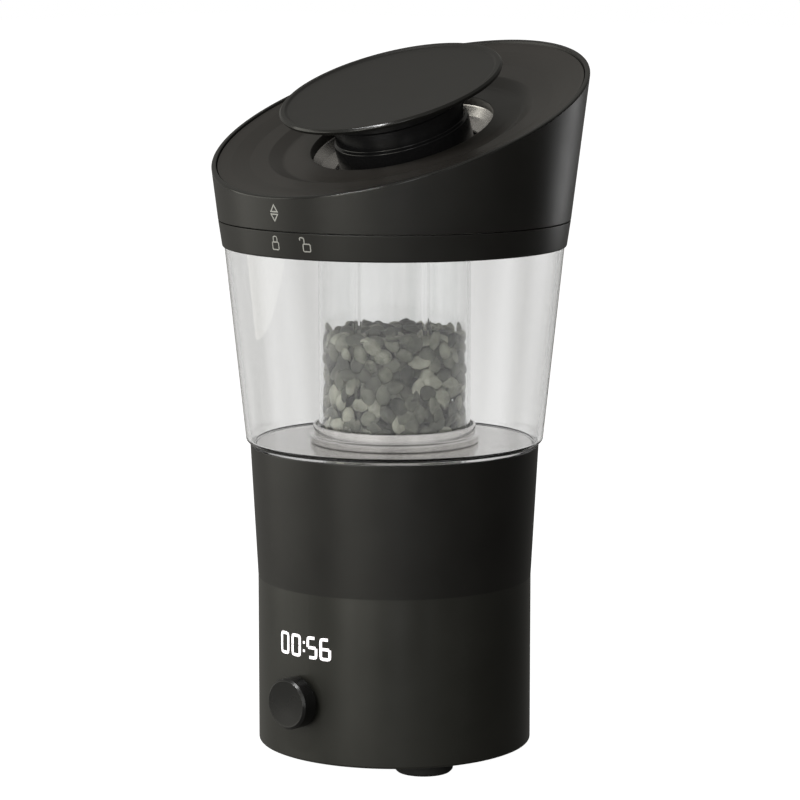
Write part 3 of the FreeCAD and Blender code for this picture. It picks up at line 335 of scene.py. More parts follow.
SKIRT_BOTTOM = 250.6
SKIRT_INNER = 73.23
SKIRT_OUTER = 75.03
SLANT = math.radians(20.3)
SLANT_HEIGHT = 307.1
SLANT_SHIFT = 2.5
DISH_EDGE = -0.8
DISH_GAP = 0.4
HUB_RADIUS = 33.0
HUB_TOP = 13.0

# The vent's own frame has its zero where the vent axis meets the plane of the slanted rim
VENT = Matrix.Translation((
    0,
    SLANT_SHIFT * math.cos(SLANT) * MM,
    (SLANT_HEIGHT + SLANT_SHIFT * math.sin(SLANT)) * MM,
)) @ Matrix.Rotation(SLANT, 4, "X")
FROM_VENT = VENT.inverted()

# The front's own frame has its Z axis along the knob's axis, out of the front wall
FRONT = Matrix.Translation((0, 0, KNOB_HEIGHT * MM)) @ Matrix.Rotation(math.pi / 2, 4, "X")


def soften(corners, steps=5):
    """Turn corners of (across, up, rounding) into points, with an arc where there is a rounding."""
    points = []
    count = len(corners)
    for index, corner in enumerate(corners):
        here = Vector(corner[:2])
        rounding = corner[2] if len(corner) > 2 else 0
        if not rounding:
            points.append((here.x, here.y))
            continue
        back = Vector(corners[index - 1][:2]) - here
        ahead = Vector(corners[(index + 1) % count][:2]) - here
        half = back.angle(ahead) / 2
        reach = min(rounding / math.tan(half), back.length * 0.49, ahead.length * 0.49)
        start = here + back.normalized() * reach
        end = here + ahead.normalized() * reach
        for step in range(steps + 1):
            t = step / steps
            point = start * (1 - t) ** 2 + here * (2 * t * (1 - t)) + end * t ** 2
            points.append((point.x, point.y))
    return points


def link(mesh, name):
    """Put a mesh into the scene as an object."""
    piece = bpy.data.objects.new(name, mesh)
    bpy.context.scene.collection.objects.link(piece)
    return piece


def from_bmesh(bm, name, material, matrix=None, sharp=32):
    """Make an object of a bmesh, smooth except at edges sharper than the given angle."""
    bmesh.ops.remove_doubles(bm, verts=bm.verts, dist=1e-7)
    bmesh.ops.recalc_face_normals(bm, faces=bm.faces)
    if matrix is not None:
        bm.transform(matrix)
    mesh = bpy.data.meshes.new(name)
    bm.to_mesh(mesh)
    bm.free()
    mesh.shade_smooth()
    mesh.set_sharp_from_angle(angle=math.radians(sharp))
    mesh.materials.append(material)
    return link(mesh, name)


def settle(piece):
    """Apply the piece's modifiers."""
    depsgraph = bpy.context.evaluated_depsgraph_get()
    mesh = bpy.data.meshes.new_from_object(piece.evaluated_get(depsgraph))
    piece.modifiers.clear()
    piece.data = mesh
    return piece


def even_shading(piece):
    """Let the broad faces set the normals, so that small roundings read crisply."""
    modifier = piece.modifiers.new("even", "WEIGHTED_NORMAL")
    modifier.keep_sharp = True
    modifier.weight = 90
    return settle(piece)


def skin(bm, outline_at, segments, start=0.0, span=2 * math.pi):
    """Carry an outline round the Z axis; outline_at(angle) gives its points as (radius, height)."""
    whole = abs(span - 2 * math.pi) < 1e-6
    rings = []
    for step in range(segments if whole else segments + 1):
        angle = start + span * step / segments
        ring = []
        for radius, height in outline_at(angle):
            ring.append(bm.verts.new((
                radius * math.sin(angle) * MM,
                -radius * math.cos(angle) * MM,
                height * MM,
            )))
        rings.append(ring)
    count = len(rings[0])
    for step in range(segments):
        here = rings[step]
        there = rings[(step + 1) % len(rings)]
        for index in range(count):
            after = (index + 1) % count
            bm.faces.new((here[index], here[after], there[after], there[index]))
    if not whole:
        bm.faces.new(rings[0])
        bm.faces.new(rings[-1][::-1])


def lathe(name, corners, material, segments, matrix=None):
    """Turn a closed outline of (radius, height, rounding) round the Z axis."""
    bm = bmesh.new()
    points = soften(corners)
    skin(bm, lambda angle: points, segments)
    return even_shading(from_bmesh(bm, name, material, matrix))


def lugs(bm, inner, outer, low, high):
    """Three short bars of the twist lock on a ring, one every 120 degrees."""
    section = [(inner, low), (outer, low), (outer, high), (inner, high)]
    first = 85
    length = math.radians(10)
    for number in range(3):
        skin(bm, lambda angle: section, 6, math.radians(first + 120 * number), length)


def fit(piece, body, slot, *replaced):
    """Say which body a piece rides on and which nodes it takes the place of; the slot it is given is not
    used.
    """
    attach(piece, body)
    if replaced:
        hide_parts(*replaced)


def on_circle(distance, degrees):
    """Move to a place on a circle round the Z axis, counted from the front."""
    turn = math.radians(degrees)
    return Matrix.Translation((distance * math.sin(turn) * MM, -distance * math.cos(turn) * MM, 0))


def polish(piece, chosen):
    """Give the chosen faces, a rounded lip, a smoother finish."""
    piece.data.materials.append(lip_gloss)
    for face in piece.data.polygons:
        if chosen(face):
            face.material_index = 1


def cut(piece, tools):
    """Cut tool pieces away and remove them."""
    for tool in tools:
        modifier = piece.modifiers.new("cut", "BOOLEAN")
        modifier.operation = "DIFFERENCE"
        modifier.solver = "EXACT"
        modifier.object = tool
    settle(piece)
    for tool in tools:
        bpy.data.objects.remove(tool)
    piece.data.shade_smooth()
    piece.data.set_sharp_from_angle(angle=math.radians(32))
    even_shading(piece)


def rounded_rectangle(width, height, radius):
    """Corner points of a rounded rectangle round the origin."""
    points = []
    steps = 6
    for across, up, turn in ((1, -1, -90), (1, 1, 0), (-1, 1, 90), (-1, -1, 180)):
        centre = (across * (width / 2 - radius), up * (height / 2 - radius))
        for step in range(steps + 1):
            angle = math.radians(turn + 90 * step / steps)
            points.append((centre[0] + radius * math.cos(angle), centre[1] + radius * math.sin(angle)))
    return points


def rounded_box(name, width, height, radius, near, far, material):
    """Rounded bar along Y at the inlet's height, between two distances behind the axis."""
    bm = bmesh.new()
    loops = []
    for distance in (near, far):
        loops.append([
            bm.verts.new((across * MM, distance * MM, (INLET_MIDDLE + up) * MM))
            for across, up in rounded_rectangle(width, height, radius)
        ])
    count = len(loops[0])
    for index in range(count):
        after = (index + 1) % count
        bm.faces.new((loops[0][index], loops[0][after], loops[1][after], loops[1][index]))
    bm.faces.new(loops[0])
    bm.faces.new(loops[1][::-1])
    return from_bmesh(bm, name, material)


def base():
    """Housing with a glossier lower band, its colour painted lighter, the three feet and the screws below.
    """
    wall = HOUSING_RADIUS - HOUSING_INNER
    inner_top = BASE_TOP_RADIUS - wall - (BASE_TOP - DECK_BOTTOM) * FLARE_SPREAD
    housing = lathe("housing", [
        (HOUSING_RADIUS, TABLE_GAP, 2.8),
        (HOUSING_RADIUS, FLARE_START - 0.5),
        (HOUSING_RADIUS, FLARE_START),
        (HOUSING_RADIUS + 0.027, FLARE_START + 0.5),
        (BASE_TOP_RADIUS, BASE_TOP, 0.5),
        (RIM_INNER, BASE_TOP, 0.4),
        (RIM_INNER, DECK),
        (DECK_HOLE, DECK),
        (DECK_HOLE, DECK_BOTTOM),
        (inner_top, DECK_BOTTOM),
        (HOUSING_INNER, FLARE_START),
        (HOUSING_INNER, COVER_SEAT_TOP),
        (COVER_SEAT_RADIUS, COVER_SEAT_TOP),
        (COVER_SEAT_RADIUS, COVER_SEAT),
        (HOUSING_INNER, COVER_SEAT),
        (HOUSING_INNER, TABLE_GAP),
    ], housing_plastic, 240)
    spindle_hole = 4.55
    hole = lathe("hole", [
        (0, 55), (spindle_hole, 55), (spindle_hole, 75), (0, 75),
    ], housing_plastic, 48, FRONT)
    window = rounded_box("window", INLET_WIDTH, INLET_TALL, 1.2, 50, 80, housing_plastic)
    cut(housing, [hole, window])
    # The band below the flare is glossier, and its colour is painted lighter: painted sheen for the
    # brighter reflection it catches
    housing.data.materials.append(band_painted_sheen)
    for face in housing.data.polygons:
        if face.center.z < FLARE_START * MM:
            face.material_index = 1
    fit(housing, "base", "housing_plastic", "base_housing")
    for name, angle in (("foot_front_left", -60), ("foot_front_right", 60), ("foot_back", 180)):
        foot = lathe("pad_" + name, [
            (0, 0.7),
            (8.4, 0.7, 0.4),
            (9.2, 0, 0.4),
            (12.6, 0, 1.2),
            (13.9, 1.4, 1.0),
            (14.5, TABLE_GAP, 0.3),
            (0, TABLE_GAP),
        ], foot_rubber, 64, on_circle(FOOT_DISTANCE, angle))
        fit(foot, "base", "foot_rubber", name)
    for angle in (0, 120, 240):
        screw(angle)


def screw(angle):
    """Sunk cross-head screw in the bottom cover, seen from below."""
    place = on_circle(SCREW_DISTANCE, angle)
    head = lathe("screw_%d" % angle, [
        (0, 6.9), (1.1, 6.4, 0.2), (2.6, 5.7, 0.5), (3.0, 6.6, 0.2), (0, 8.0),
    ], satin_steel, 32, place)
    arms = []
    slot_width = 0.7
    slot_length = 3.0
    slot_depth = 1.6
    slot_height = 5.9
    for across, along in ((slot_width, slot_length), (slot_length, slot_width)):
        bm = bmesh.new()
        bmesh.ops.create_cube(bm, size=1)
        size = Matrix.Diagonal((across * MM, along * MM, slot_depth * MM, 1))
        bm.transform(place @ Matrix.Translation((0, 0, slot_height * MM)) @ size)
        arms.append(from_bmesh(bm, "arm", satin_steel))
    cut(head, arms)
    fit(head, "base", "satin_steel")


def knob_piece():
    """Knob with a bevelled edge and a slightly dished face."""
    piece = lathe("control_knob", [
        (3.0, KNOB_BACK),
        (11.4, KNOB_BACK, 0.4),
        (KNOB_RADIUS, 68.2, 0.5),
        (KNOB_RADIUS, 74.9, 0.35),
        (11.1, KNOB_FRONT, 0.3),
        (10.5, 75.92, 0.4),
        (5.0, 75.62),
        (0, 75.55),
        (0, 73.0),
        (3.0, 73.0),
    ], knob_gloss, 96, FRONT)
    fit(piece, "knob", "knob_plastic", "knob")


def inlet():
    """Shallow frame round the appliance inlet at the back."""
    rim = 3.4
    play = 0.1
    outer = rounded_box("inlet_frame", INLET_WIDTH + rim, INLET_TALL + rim, 2.6, 61.5, 64.9, inlet_plastic)
    hole = rounded_box("inlet_mouth", INLET_WIDTH - play, INLET_TALL - play, 1.2, 55, 80, inlet_plastic)
    cut(outer, [hole])
    fit(outer, "base", "inlet_plastic")


def chamber():
    """Polished floor plate, glass tube and the stepped collar at its foot."""
    plate = lathe("chamber_floor", [
        (PLATE_RADIUS, DECK),
        (PLATE_RADIUS, PLATE_TOP, 1.0),
        (PLATE_HOLE, PLATE_TOP),
        (PLATE_HOLE, PLATE_TOP - PLATE_SHEET),
        (PLATE_RADIUS - PLATE_SHEET, PLATE_TOP - PLATE_SHEET),
        (PLATE_RADIUS - PLATE_SHEET, DECK),
    ], polished_steel, 192)
    fit(plate, "base", "polished_steel", "floor_plate")
    bm = bmesh.new()

    def outline(angle):
        """The tube has two low upright ribs on the side towards the front right."""
        rib_width = 1.7
        rib_height = 0.5
        outer = GLASS_RADIUS
        for rib in (14.2, 66.6):
            away = (math.degrees(angle) - rib) / rib_width
            outer += rib_height * math.exp(-away * away)
        return soften([
            (GLASS_INNER, GLASS_BOTTOM),
            (outer, GLASS_BOTTOM, 0.3),
            (outer, GLASS_TOP, 0.7),
            (GLASS_INNER, GLASS_TOP, 0.7),
        ])

    skin(bm, outline, 360)
    tube = even_shading(from_bmesh(bm, "glass_tube", chamber_glass))
    fit(tube, "roast_chamber", "chamber_glass", "roast_glass")
    collar = lathe("tube_collar", [
        (28.0, 146.0, 0.3),
        (29.7, 146.0, 0.4),
        (29.7, PLATE_TOP),
        (40.7, PLATE_TOP, 0.9),
        (40.7, 155.9, 1.7),
        (39.1, 156.1, 0.6),
        (39.1, 161.0, 0.6),
        (38.0, 161.0, 0.3),
        (38.0, GLASS_BOTTOM),
        (28.0, GLASS_BOTTOM),
    ], polished_steel, 160)
    fit(collar, "roast_chamber", "polished_steel", "glass_collar")


def bean_shape(rng):
    """Points and faces of one green bean: domed back, flat face with a furrow."""
    length = rng.uniform(4.4, 5.4)
    width = rng.uniform(3.2, 3.9)
    height = rng.uniform(2.0, 2.6)
    bend = rng.uniform(-0.25, 0.25)
    across_steps = 12
    rings = 7
    verts = []
    for ring in range(1, rings):
        lift = math.pi * ring / rings
        for step in range(across_steps):
            turn = 2 * math.pi * step / across_steps
            x = length * math.cos(lift)
            y = width * math.sin(lift) * math.cos(turn)
            z = height * math.sin(lift) * math.sin(turn)
            if z < 0:
                z *= 0.42
                furrow = math.exp(-((y - bend * x) / 0.75) ** 2) * math.sin(lift)
                z += 0.75 * furrow
            y += 0.03 * x * x * bend
            verts.append((x, y, z))
    verts.append((length, 0.03 * length * length * bend, 0))
    verts.append((-length, 0.03 * length * length * bend, 0))
    faces = []
    for ring in range(rings - 2):
        for step in range(across_steps):
            after = (step + 1) % across_steps
            low = ring * across_steps
            high = low + across_steps
            faces.append((low + step, low + after, high + after, high + step))
    near, far = len(verts) - 2, len(verts) - 1
    last = (rings - 2) * across_steps
    for step in range(across_steps):
        after = (step + 1) % across_steps
        faces.append((near, after, step))
        faces.append((far, last + step, last + after))
    return verts, faces


def place_bean(bm, rng, angle, distance, height, outward):
    """Lay one bean with its broad side to the wall or upwards, then keep it inside the glass."""
    verts, faces = bean_shape(rng)
    facing = Vector((math.sin(angle), -math.cos(angle), 0))
    normal = (facing * outward + Vector((0, 0, 1)) * (1 - outward)).normalized()
    wobble = Vector((rng.uniform(-1, 1), rng.uniform(-1, 1), rng.uniform(-1, 1))) * 0.45
    normal = (normal + wobble).normalized() * rng.choice((1, -1))
    turn = normal.to_track_quat("Z", "Y").to_matrix() @ Matrix.Rotation(rng.uniform(0, math.tau), 3, "Z")
    points = [turn @ Vector(vert) for vert in verts]
    centre = facing * distance + Vector((0, 0, height))
    reach = max((centre + point).xy.length for point in points)
    limit = BEAN_REACH - rng.uniform(0, 0.7)
    if reach > limit:
        centre -= facing * (reach - limit)
    lowest = min((centre + point).z for point in points)
    if lowest < BEAN_FLOOR:
        centre.z += BEAN_FLOOR - lowest
    made = [bm.verts.new((centre + point) * MM) for point in points]
    for face in faces:
        bm.faces.new([made[index] for index in face])


def beans():
    """Two rings of beans in each layer, a loose top, and a dark core of painted shade that hides the gaps.
    """
    rng = random.Random(7)
    bm = bmesh.new()
    layers = 10
    first_layer = 158.6
    layer_rise = 4.95
    outer_ring, outer_count = 32.5, 21
    inner_ring, inner_count = 25.5, 14
    for layer in range(layers):
        height = first_layer + layer * layer_rise
        for step in range(outer_count):
            angle = math.tau * (step + rng.uniform(-0.25, 0.25) + 0.5 * (layer % 2)) / outer_count
            place_bean(bm, rng, angle, outer_ring, height + rng.uniform(-1.4, 1.4), 1.0)
        for step in range(inner_count):
            angle = math.tau * (step + rng.uniform(-0.3, 0.3)) / inner_count
            place_bean(bm, rng, angle, inner_ring, height + rng.uniform(-1.5, 1.5), 0.8)
    top = 206.4
    for ring, count in ((0, 1), (8, 6), (15.5, 11), (22.5, 16), (29.5, 20)):
        for step in range(count):
            angle = math.tau * (step + rng.uniform(-0.3, 0.3)) / count
            level = top - 2.6 * (ring / 30) ** 2 + rng.uniform(-1.3, 1.2)
            place_bean(bm, rng, angle, ring, level, 0.1)
    heap = from_bmesh(bm, "bean_heap", green_beans, sharp=60)
    # The core is painted shade: a dark stand-in for the shaded beans deep in the heap
    core = lathe("bean_core", [(0, 156), (24, 156, 2), (24, 203, 4), (0, 205)], bean_shadow, 32)
    core.parent = heap
    fit(heap, "roast_chamber", "green_beans", "coffee_beans")


def collector():
    """Clear flared shell and the band bonded round its top."""
    shell = lathe("collector_shell", [
        (SHELL_BORE, BASE_TOP, 0.3),
        (68.9, BASE_TOP, 0.5),
        (SHELL_LOW_RADIUS, 153.6, 1.8),
        (SHELL_TOP_RADIUS, RING_BOTTOM),
        (80.5, RING_BOTTOM),
        (80.5, TENON_TOP, 0.3),
        (79.3, TENON_TOP, 0.3),
        (79.3, RING_BOTTOM),
        (SHELL_LOW_RADIUS - 2, 154.2, 1.0),
        (SHELL_BORE, 153.0, 0.4),
    ], collector_clear, 224)
    fit(shell, "chaff_collector", "collector_clear", "collector_body")
    bm = bmesh.new()
    outline = soften([
        (80.55, RING_BOTTOM, 0.2),
        (RING_LOW_RADIUS, RING_BOTTOM, 1.2),
        (RING_TOP_RADIUS, RING_TOP, 0.35),
        (81.033, RING_TOP),
        (81.033, 257.7),
        (78.533, 257.7),
        (78.533, RING_TOP),
        (77.533, RING_TOP, 0.3),
        (77.533, TENON_TOP),
        (80.55, TENON_TOP),
    ])
    skin(bm, lambda angle: outline, 224)
    lugs(bm, 75.43, 77.8, TENON_TOP, RING_TOP)
    ring = even_shading(from_bmesh(bm, "collector_band", housing_plastic))
    fit(ring, "chaff_collector", "housing_plastic", "collector_ring")


def lid_radius(height):
    """Outer radius of the lid's flared wall at a height."""
    return LID_LOW_RADIUS + (height - LID_BOTTOM) * LID_SPREAD


def rim_point(angle, wall_start):
    """Where a wall that starts at a radius on the lid's bottom meets the slanted plane."""
    slope = math.cos(angle) * math.tan(SLANT)
    rise = SLANT_HEIGHT - LID_BOTTOM
    radius = (wall_start + rise * LID_SPREAD) / (1 + LID_SPREAD * slope)
    return radius, SLANT_HEIGHT - radius * slope


def lid():
    """Flared wall cut on the slant, with its floor, skirt and lugs."""
    bm = bmesh.new()
    floor = 262.0
    inner_start = LID_LOW_RADIUS - LID_WALL

    def outline(angle):
        outer = rim_point(angle, LID_LOW_RADIUS)
        inner = rim_point(angle, inner_start)
        return soften([
            (LID_LOW_RADIUS, LID_BOTTOM, 0.35),
            (outer[0], outer[1], 0.9),
            (inner[0], inner[1], 0.5),
            (inner_start + (floor - LID_BOTTOM) * LID_SPREAD, floor),
            (SKIRT_INNER, floor),
            (SKIRT_INNER, SKIRT_BOTTOM, 0.3),
            (SKIRT_OUTER, SKIRT_BOTTOM, 0.3),
            (SKIRT_OUTER, LID_BOTTOM),
        ])

    skin(bm, outline, 256)
    lugs(bm, 74.8, 76.7, 251.4, 254.6)
    shell = even_shading(from_bmesh(bm, "lid_wall", housing_plastic))
    polish(shell, lambda face: abs((FROM_VENT @ face.center).z) < 0.8 * MM)
    fit(shell, "lid", "housing_plastic", "lid_shell")


def dish_edge(angle):
    """Radius at which the dish stops short of the lid's wall, in the vent's own frame."""
    low, high = 60.0, 110.0
    for step in range(40):
        middle = (low + high) / 2
        point = VENT @ (Vector((
            middle * math.sin(angle),
            -middle * math.cos(angle),
            DISH_EDGE,
        )) * MM)
        wall = lid_radius(point.z / MM) - LID_WALL - DISH_GAP
        if point.xy.length / MM < wall:
            low = middle
        else:
            high = middle
    return low


def vent():
    """Dish in the slanted top, outlet with its funnel, hub and raised disc."""
    bm = bmesh.new()

    def outline(angle):
        edge = dish_edge(angle)
        band = edge - 66
        return soften([
            (45.3, -12.3),
            (44.6, -12.3),
            (44.8, -7.9, 0.5),
            (52.5, -8.3, 2.0),
            (58.5, -8.9, 4.0),
            (65.0, -5.7, 2.5),
            (66 + band * 0.35, -4.6, 4.0),
            (66 + band * 0.72, -2.3, 4.0),
            (edge - 1.6, DISH_EDGE - 0.5, 1.0),
            (edge, DISH_EDGE, 0.4),
            (edge, DISH_EDGE - 2.0),
            (66, -7.9),
            (58.0, -11.6),
            (51.8, -11.5),
            (51.8, -8.7),
            (45.3, -8.7),
        ])

    skin(bm, outline, 256)
    # The dish's colour is painted lighter and warmer than the housing's: painted light
    dish = even_shading(from_bmesh(bm, "dish", dish_plastic_painted_light, VENT))
    fit(dish, "lid", "housing_plastic", "vent_dish")
    # The funnel's steel is painted pale: painted reflection under the disc
    throat = lathe("outlet_tube", [
        (47.0, -25.5, 0.3),
        (47.6, -25.5, 0.3),
        (47.6, -9.5),
        (51.6, -9.5),
        (51.6, -8.9),
        (46.4, -8.9, 0.4),
        (45.8, -13.0, 3.0),
        (42.0, -17.4, 4.0),
        (36.2, -20.6, 0.6),
        (36.2, -21.6, 0.4),
        (42.6, -18.2, 4.0),
        (47.0, -13.0, 2.0),
    ], funnel_steel_painted_pale, 160, VENT)
    fit(throat, "lid", "polished_steel", "exhaust_throat")
    hub = lathe("hub", [
        (31.0, -25.0),
        (HUB_RADIUS, -25.0, 1.0),
        (HUB_RADIUS, -6.0, 0.6),
        (31.6, -5.0, 0.6),
        (31.6, 3.6, 0.6),
        (HUB_RADIUS, 4.6, 0.6),
        (HUB_RADIUS, HUB_TOP),
        (0, HUB_TOP),
        (0, 11.0),
        (31.0, 11.0),
    ], hub_gloss, 128, VENT)
    fit(hub, "lid", "housing_plastic", "vent_hub")
    disc = lathe("float_disc", [
        (0, 14.55),
        (20, 14.62),
        (36, 14.85),
        (50.6, 15.3, 1.2),
        (51.7, 16.1, 0.5),
        (53.6, 16.1, 0.6),
        (54.6, 15.0, 0.7),
        (53.9, 13.5, 0.6),
        (51.0, HUB_TOP, 1.2),
        (0, HUB_TOP),
    ], housing_plastic, 224, VENT)
    polish(disc, lambda face: (FROM_VENT @ face.center).xy.length > 53.3 * MM)
    fit(disc, "lid", "housing_plastic", "vent_disc")


def wrapped(across, up, radius, lift):
    """Point on an upright round surface: across along its curve, lift above it."""
    angle = across / radius
    return Vector(((radius + lift) * math.sin(angle), -(radius + lift) * math.cos(angle), up)) * MM


def draw_stroke(bm, points, width, surface, closed=False, lift=0.04):
    """Flat line of one width, wrapped on the surface; surface gives its radius at a height."""
    path = [Vector(point) for point in points]
    if closed:
        path.append(path[0])
    fine = []
    for start, end in zip(path, path[1:]):
        steps = max(1, int((end - start).length / 0.8))
        fine += [start.lerp(end, step / steps) for step in range(steps)]
    fine.append(path[-1])
    if closed:
        fine.pop()
    count = len(fine)
    sides = []
    for index, point in enumerate(fine):
        before = fine[index - 1] if index or closed else point
        after = fine[(index + 1) % count] if index + 1 < count or closed else point
        back = (point - before).normalized() if (point - before).length > 1e-9 else None
        ahead = (after - point).normalized() if (after - point).length > 1e-9 else None
        along = ((back or ahead) + (ahead or back)).normalized()
        normal = Vector((-along.y, along.x))
        mitre = 1.0
        if back and ahead:
            mitre = 1 / max(0.5, normal.dot(Vector((-ahead.y, ahead.x))))
        pair = []
        for side in (-1, 1):
            spot = point + normal * (side * mitre * width / 2)
            pair.append(bm.verts.new(wrapped(spot.x, spot.y, surface(spot.y), lift)))
        sides.append(pair)
    for index in range(count if closed else count - 1):
        here = sides[index]
        there = sides[(index + 1) % count]
        bm.faces.new((here[0], there[0], there[1], here[1]))


def smooth_path(corners, radius, closed=False):
    """Round the corners of a flat path."""
    marked = []
    for index, corner in enumerate(corners):
        end = not closed and index in (0, len(corners) - 1)
        marked.append((corner[0], corner[1], 0 if end else radius))
    return soften(marked, 4)


# The lit strokes of each digit, named as on any seven-segment display
SEGMENTS = {
    "0": "abcdef",
    "5": "acdfg",
    "6": "acdefg",
}


def digit(bm, number, centre, base_height, surface):
    """One seven-segment digit with rounded outer corners."""
    half = 2.45
    half_tall = 4.7
    stroke = 1.45
    left, right = centre - half, centre + half
    low, high = base_height - half_tall, base_height + half_tall
    shoulder = 0.95
    corner = 0.3
    meet = 0.1
    paths = {
        "a": [(left + shoulder, high), (right - shoulder, high)],
        "d": [(left + shoulder, low), (right - shoulder, low)],
        "g": [(left + corner, base_height), (right - corner, base_height)],
        "b": [(right, high - shoulder), (right, base_height + meet)],
        "c": [(right, base_height - meet), (right, low + shoulder)],
        "e": [(left, base_height - meet), (left, low + shoulder)],
        "f": [(left, high - shoulder), (left, base_height + meet)],
    }
    joints = {
        "ab": [(right - shoulder, high), (right - corner, high - corner), (right, high - shoulder)],
        "af": [(left + shoulder, high), (left + corner, high - corner), (left, high - shoulder)],
        "cd": [(right - shoulder, low), (right - corner, low + corner), (right, low + shoulder)],
        "de": [(left + shoulder, low), (left + corner, low + corner), (left, low + shoulder)],
    }
    lit = SEGMENTS[number]
    for key in lit:
        draw_stroke(bm, paths[key], stroke, surface)
    for pair, path in joints.items():
        if pair[0] in lit and pair[1] in lit:
            draw_stroke(bm, path, stroke, surface, lift=0.045)


def display():
    """Lit time in minutes and seconds that shows through the front wall."""
    bm = bmesh.new()

    def surface(height):
        return HOUSING_RADIUS

    for number, angle in (("0", -9.3), ("0", -2.35), ("5", 6.35), ("6", 12.9)):
        digit(bm, number, math.radians(angle) * HOUSING_RADIUS, DISPLAY_HEIGHT, surface)
    middle = math.radians(2.15) * HOUSING_RADIUS
    for up in (-2.0, 2.0):
        centre = DISPLAY_HEIGHT + up
        draw_stroke(bm, [(middle, centre - 0.6), (middle, centre + 0.6)], 1.2, surface)
    piece = from_bmesh(bm, "display_digits", display_glow)
    fit(piece, "base", "display_black")


def printed_marks():
    """Alignment arrows on the lid, and closed and open padlocks on the ring."""
    bm = bmesh.new()
    middle = math.radians(2.2) * LID_LOW_RADIUS
    arrow_height = 268.0
    arrow_gap = 0.6
    arrow_half = 2.0
    arrow_tall = 3.1
    for sign in (1, -1):
        base_line = arrow_height + sign * arrow_gap
        tip = base_line + sign * arrow_tall
        triangle = [(middle - arrow_half, base_line), (middle + arrow_half, base_line), (middle, tip)]
        draw_stroke(bm, triangle, 0.6, lid_radius, closed=True)
    arrows = from_bmesh(bm, "arrow_marks", print_grey)
    fit(arrows, "lid", "housing_plastic")
    bm = bmesh.new()

    def surface(height):
        spread_of_ring = (RING_TOP_RADIUS - RING_LOW_RADIUS) / (RING_TOP - RING_BOTTOM)
        return RING_LOW_RADIUS + (height - RING_BOTTOM) * spread_of_ring

    line = 0.55
    marked_radius = 83.4
    low, high = 250.9, 254.4
    body_half = 1.9
    shackle_half = 1.15
    for angle, opened in ((1.5, False), (13.7, True)):
        centre = math.radians(angle) * marked_radius
        left, right = centre - body_half, centre + body_half
        body_path = smooth_path([(left, low), (right, low), (right, high), (left, high)], 0.7, closed=True)
        draw_stroke(bm, body_path, line, surface, closed=True)
        middle = centre - 2 * shackle_half if opened else centre
        left, right = middle - shackle_half, middle + shackle_half
        top = high + (2.9 if opened else 2.7)
        start = (left, high + 1.6) if opened else (left, high)
        shackle = smooth_path([start, (left, top), (right, top), (right, high)], 1.0)
        draw_stroke(bm, shackle, line, surface)
    locks = from_bmesh(bm, "lock_marks", print_grey)
    fit(locks, "chaff_collector", "housing_plastic")


def stage_floor():
    """Pale floor that runs into the white surroundings and keeps a faint shadow."""
    mesh = bpy.data.meshes.new("floor")
    bm = bmesh.new()
    bmesh.ops.create_grid(bm, x_segments=8, y_segments=8, size=8)
    bm.to_mesh(mesh)
    bm.free()
    floor = link(mesh, "floor")
    material, tree, shader = new_material("floor_white")
    shader.inputs["Base Color"].default_value = (0.35, 0.35, 0.35, 1)
    shader.inputs["Roughness"].default_value = 0.9
    shader.inputs["Emission Color"].default_value = (1, 1, 1, 1)
    shader.inputs["Emission Strength"].default_value = 1.0
    mesh.materials.append(material)
    floor.visible_diffuse = False
    floor.visible_glossy = False
    floor.visible_shadow = False


def area_light(name, direction, distance, size, power, target=(0, 0, 0.17), colour=(1, 1, 1)):
    """Soft box at a distance from the target, aimed at it; direction is azimuth and elevation."""
    light = bpy.data.lights.new(name, "AREA")
    light.shape = "RECTANGLE"
    light.size, light.size_y = size
    light.energy = power
    light.color = colour
    lamp = bpy.data.objects.new(name, light)
    lamp.visible_camera = False
    lamp.visible_transmission = False
    azimuth, elevation = (math.radians(angle) for angle in direction)
    away = Vector((
        math.sin(azimuth) * math.cos(elevation),
        -math.cos(azimuth) * math.cos(elevation),
        math.sin(elevation),
    ))
    lamp.location = Vector(target) + away * distance
    lamp.rotation_euler = away.to_track_quat("Z", "Y").to_euler()
    bpy.context.scene.collection.objects.link(lamp)


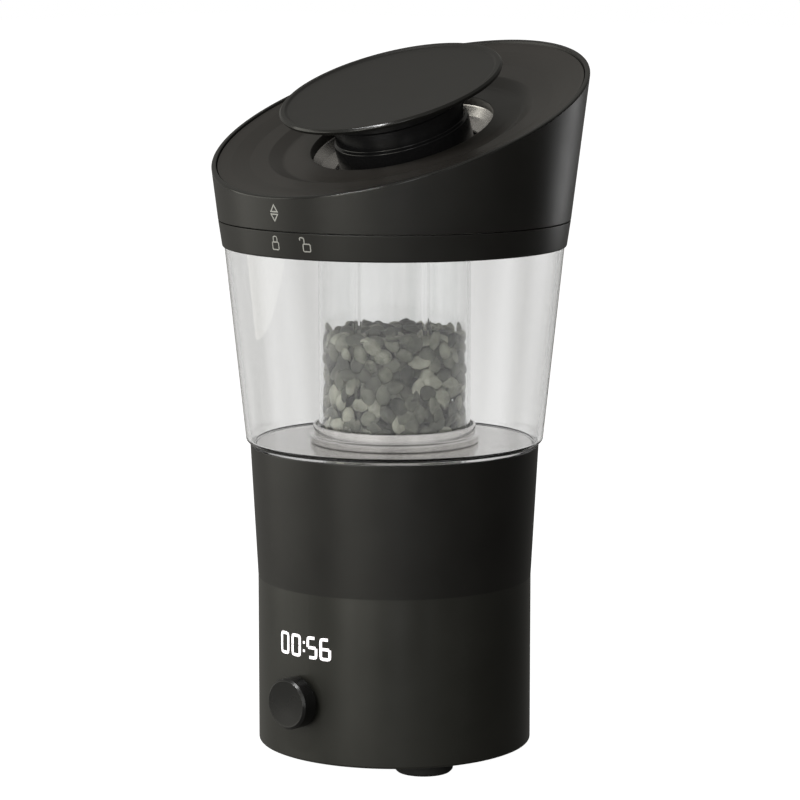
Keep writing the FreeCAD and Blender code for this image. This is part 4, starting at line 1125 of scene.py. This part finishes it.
def studio():
    """White to the eye; what the opaque pieces mirror is dimmer, and dimmest behind to the right."""
    world = bpy.data.worlds.new("studio")
    bpy.context.scene.world = world
    world.use_nodes = True
    tree = world.node_tree
    white = tree.nodes["Background"]
    white.inputs["Color"].default_value = (1, 1, 1, 1)
    place = add_node(tree, "ShaderNodeTexCoord")
    side = add_node(tree, "ShaderNodeVectorMath", {1: (-0.65, -0.65, 0.45)}, operation="DOT_PRODUCT")
    tree.links.new(place.outputs["Generated"], side.inputs[0])
    around = {"From Min": -1, "From Max": 1, "To Min": 0.04, "To Max": 0.32}
    level = add_node(tree, "ShaderNodeMapRange", around)
    tree.links.new(side.outputs["Value"], level.inputs["Value"])
    dim = add_node(tree, "ShaderNodeBackground", {"Color": (1, 0.98, 0.91, 1)})
    tree.links.new(level.outputs["Result"], dim.inputs["Strength"])
    path = add_node(tree, "ShaderNodeLightPath")
    # Rays that leave the beans through the clear walls find a brighter world, brightest on the left
    inside = {"From Min": -1, "From Max": 1, "To Min": 0.0, "To Max": 5.0}
    through = add_node(tree, "ShaderNodeMapRange", inside)
    tree.links.new(side.outputs["Value"], through.inputs["Value"])
    scattered = add_node(tree, "ShaderNodeMath", {1: 0.5}, operation="GREATER_THAN")
    tree.links.new(path.outputs["Diffuse Depth"], scattered.inputs[0])
    strength = add_node(tree, "ShaderNodeMix", {"A": 1.0})
    tree.links.new(scattered.outputs[0], strength.inputs["Factor"])
    tree.links.new(through.outputs["Result"], strength.inputs["B"])
    tree.links.new(strength.outputs["Result"], white.inputs["Strength"])
    seen = add_node(tree, "ShaderNodeMath", operation="MAXIMUM")
    tree.links.new(path.outputs["Is Camera Ray"], seen.inputs[0])
    tree.links.new(path.outputs["Is Transmission Ray"], seen.inputs[1])
    mix = add_node(tree, "ShaderNodeMixShader")
    tree.links.new(seen.outputs[0], mix.inputs["Fac"])
    tree.links.new(dim.outputs[0], mix.inputs[1])
    tree.links.new(white.outputs[0], mix.inputs[2])
    tree.links.new(mix.outputs[0], tree.nodes["World Output"].inputs["Surface"])


base()
knob_piece()
inlet()
chamber()
beans()
collector()
lid()
vent()
display()
printed_marks()

stage_floor()
studio()
WARM = (1, 0.985, 0.885)
area_light("key", (-52, 8), 1.7, (1.5, 1.3), 7.2, colour=WARM)
area_light("front", (12, 8), 1.7, (1.1, 1.3), 7.4, colour=WARM)
area_light("front_strip", (5, 10), 1.6, (0.07, 1.3), 1.5, colour=WARM)
area_light("middle_strip", (46, 10), 1.8, (0.40, 1.3), 2.9)
area_light("right_strip", (72, 10), 1.6, (0.14, 1.3), 0.5)
area_light("side_strip", (99, 10), 1.6, (0.07, 1.3), 0.2)
area_light("edge", (165, -8), 0.45, (0.15, 0.12), 0.095, target=(0, 0, 0.3))
area_light("top_strip", (-2, 45), 1.5, (0.55, 0.10), 9, target=(0, 0, 0.3))

bpy.context.scene.view_settings.view_transform = "Standard"
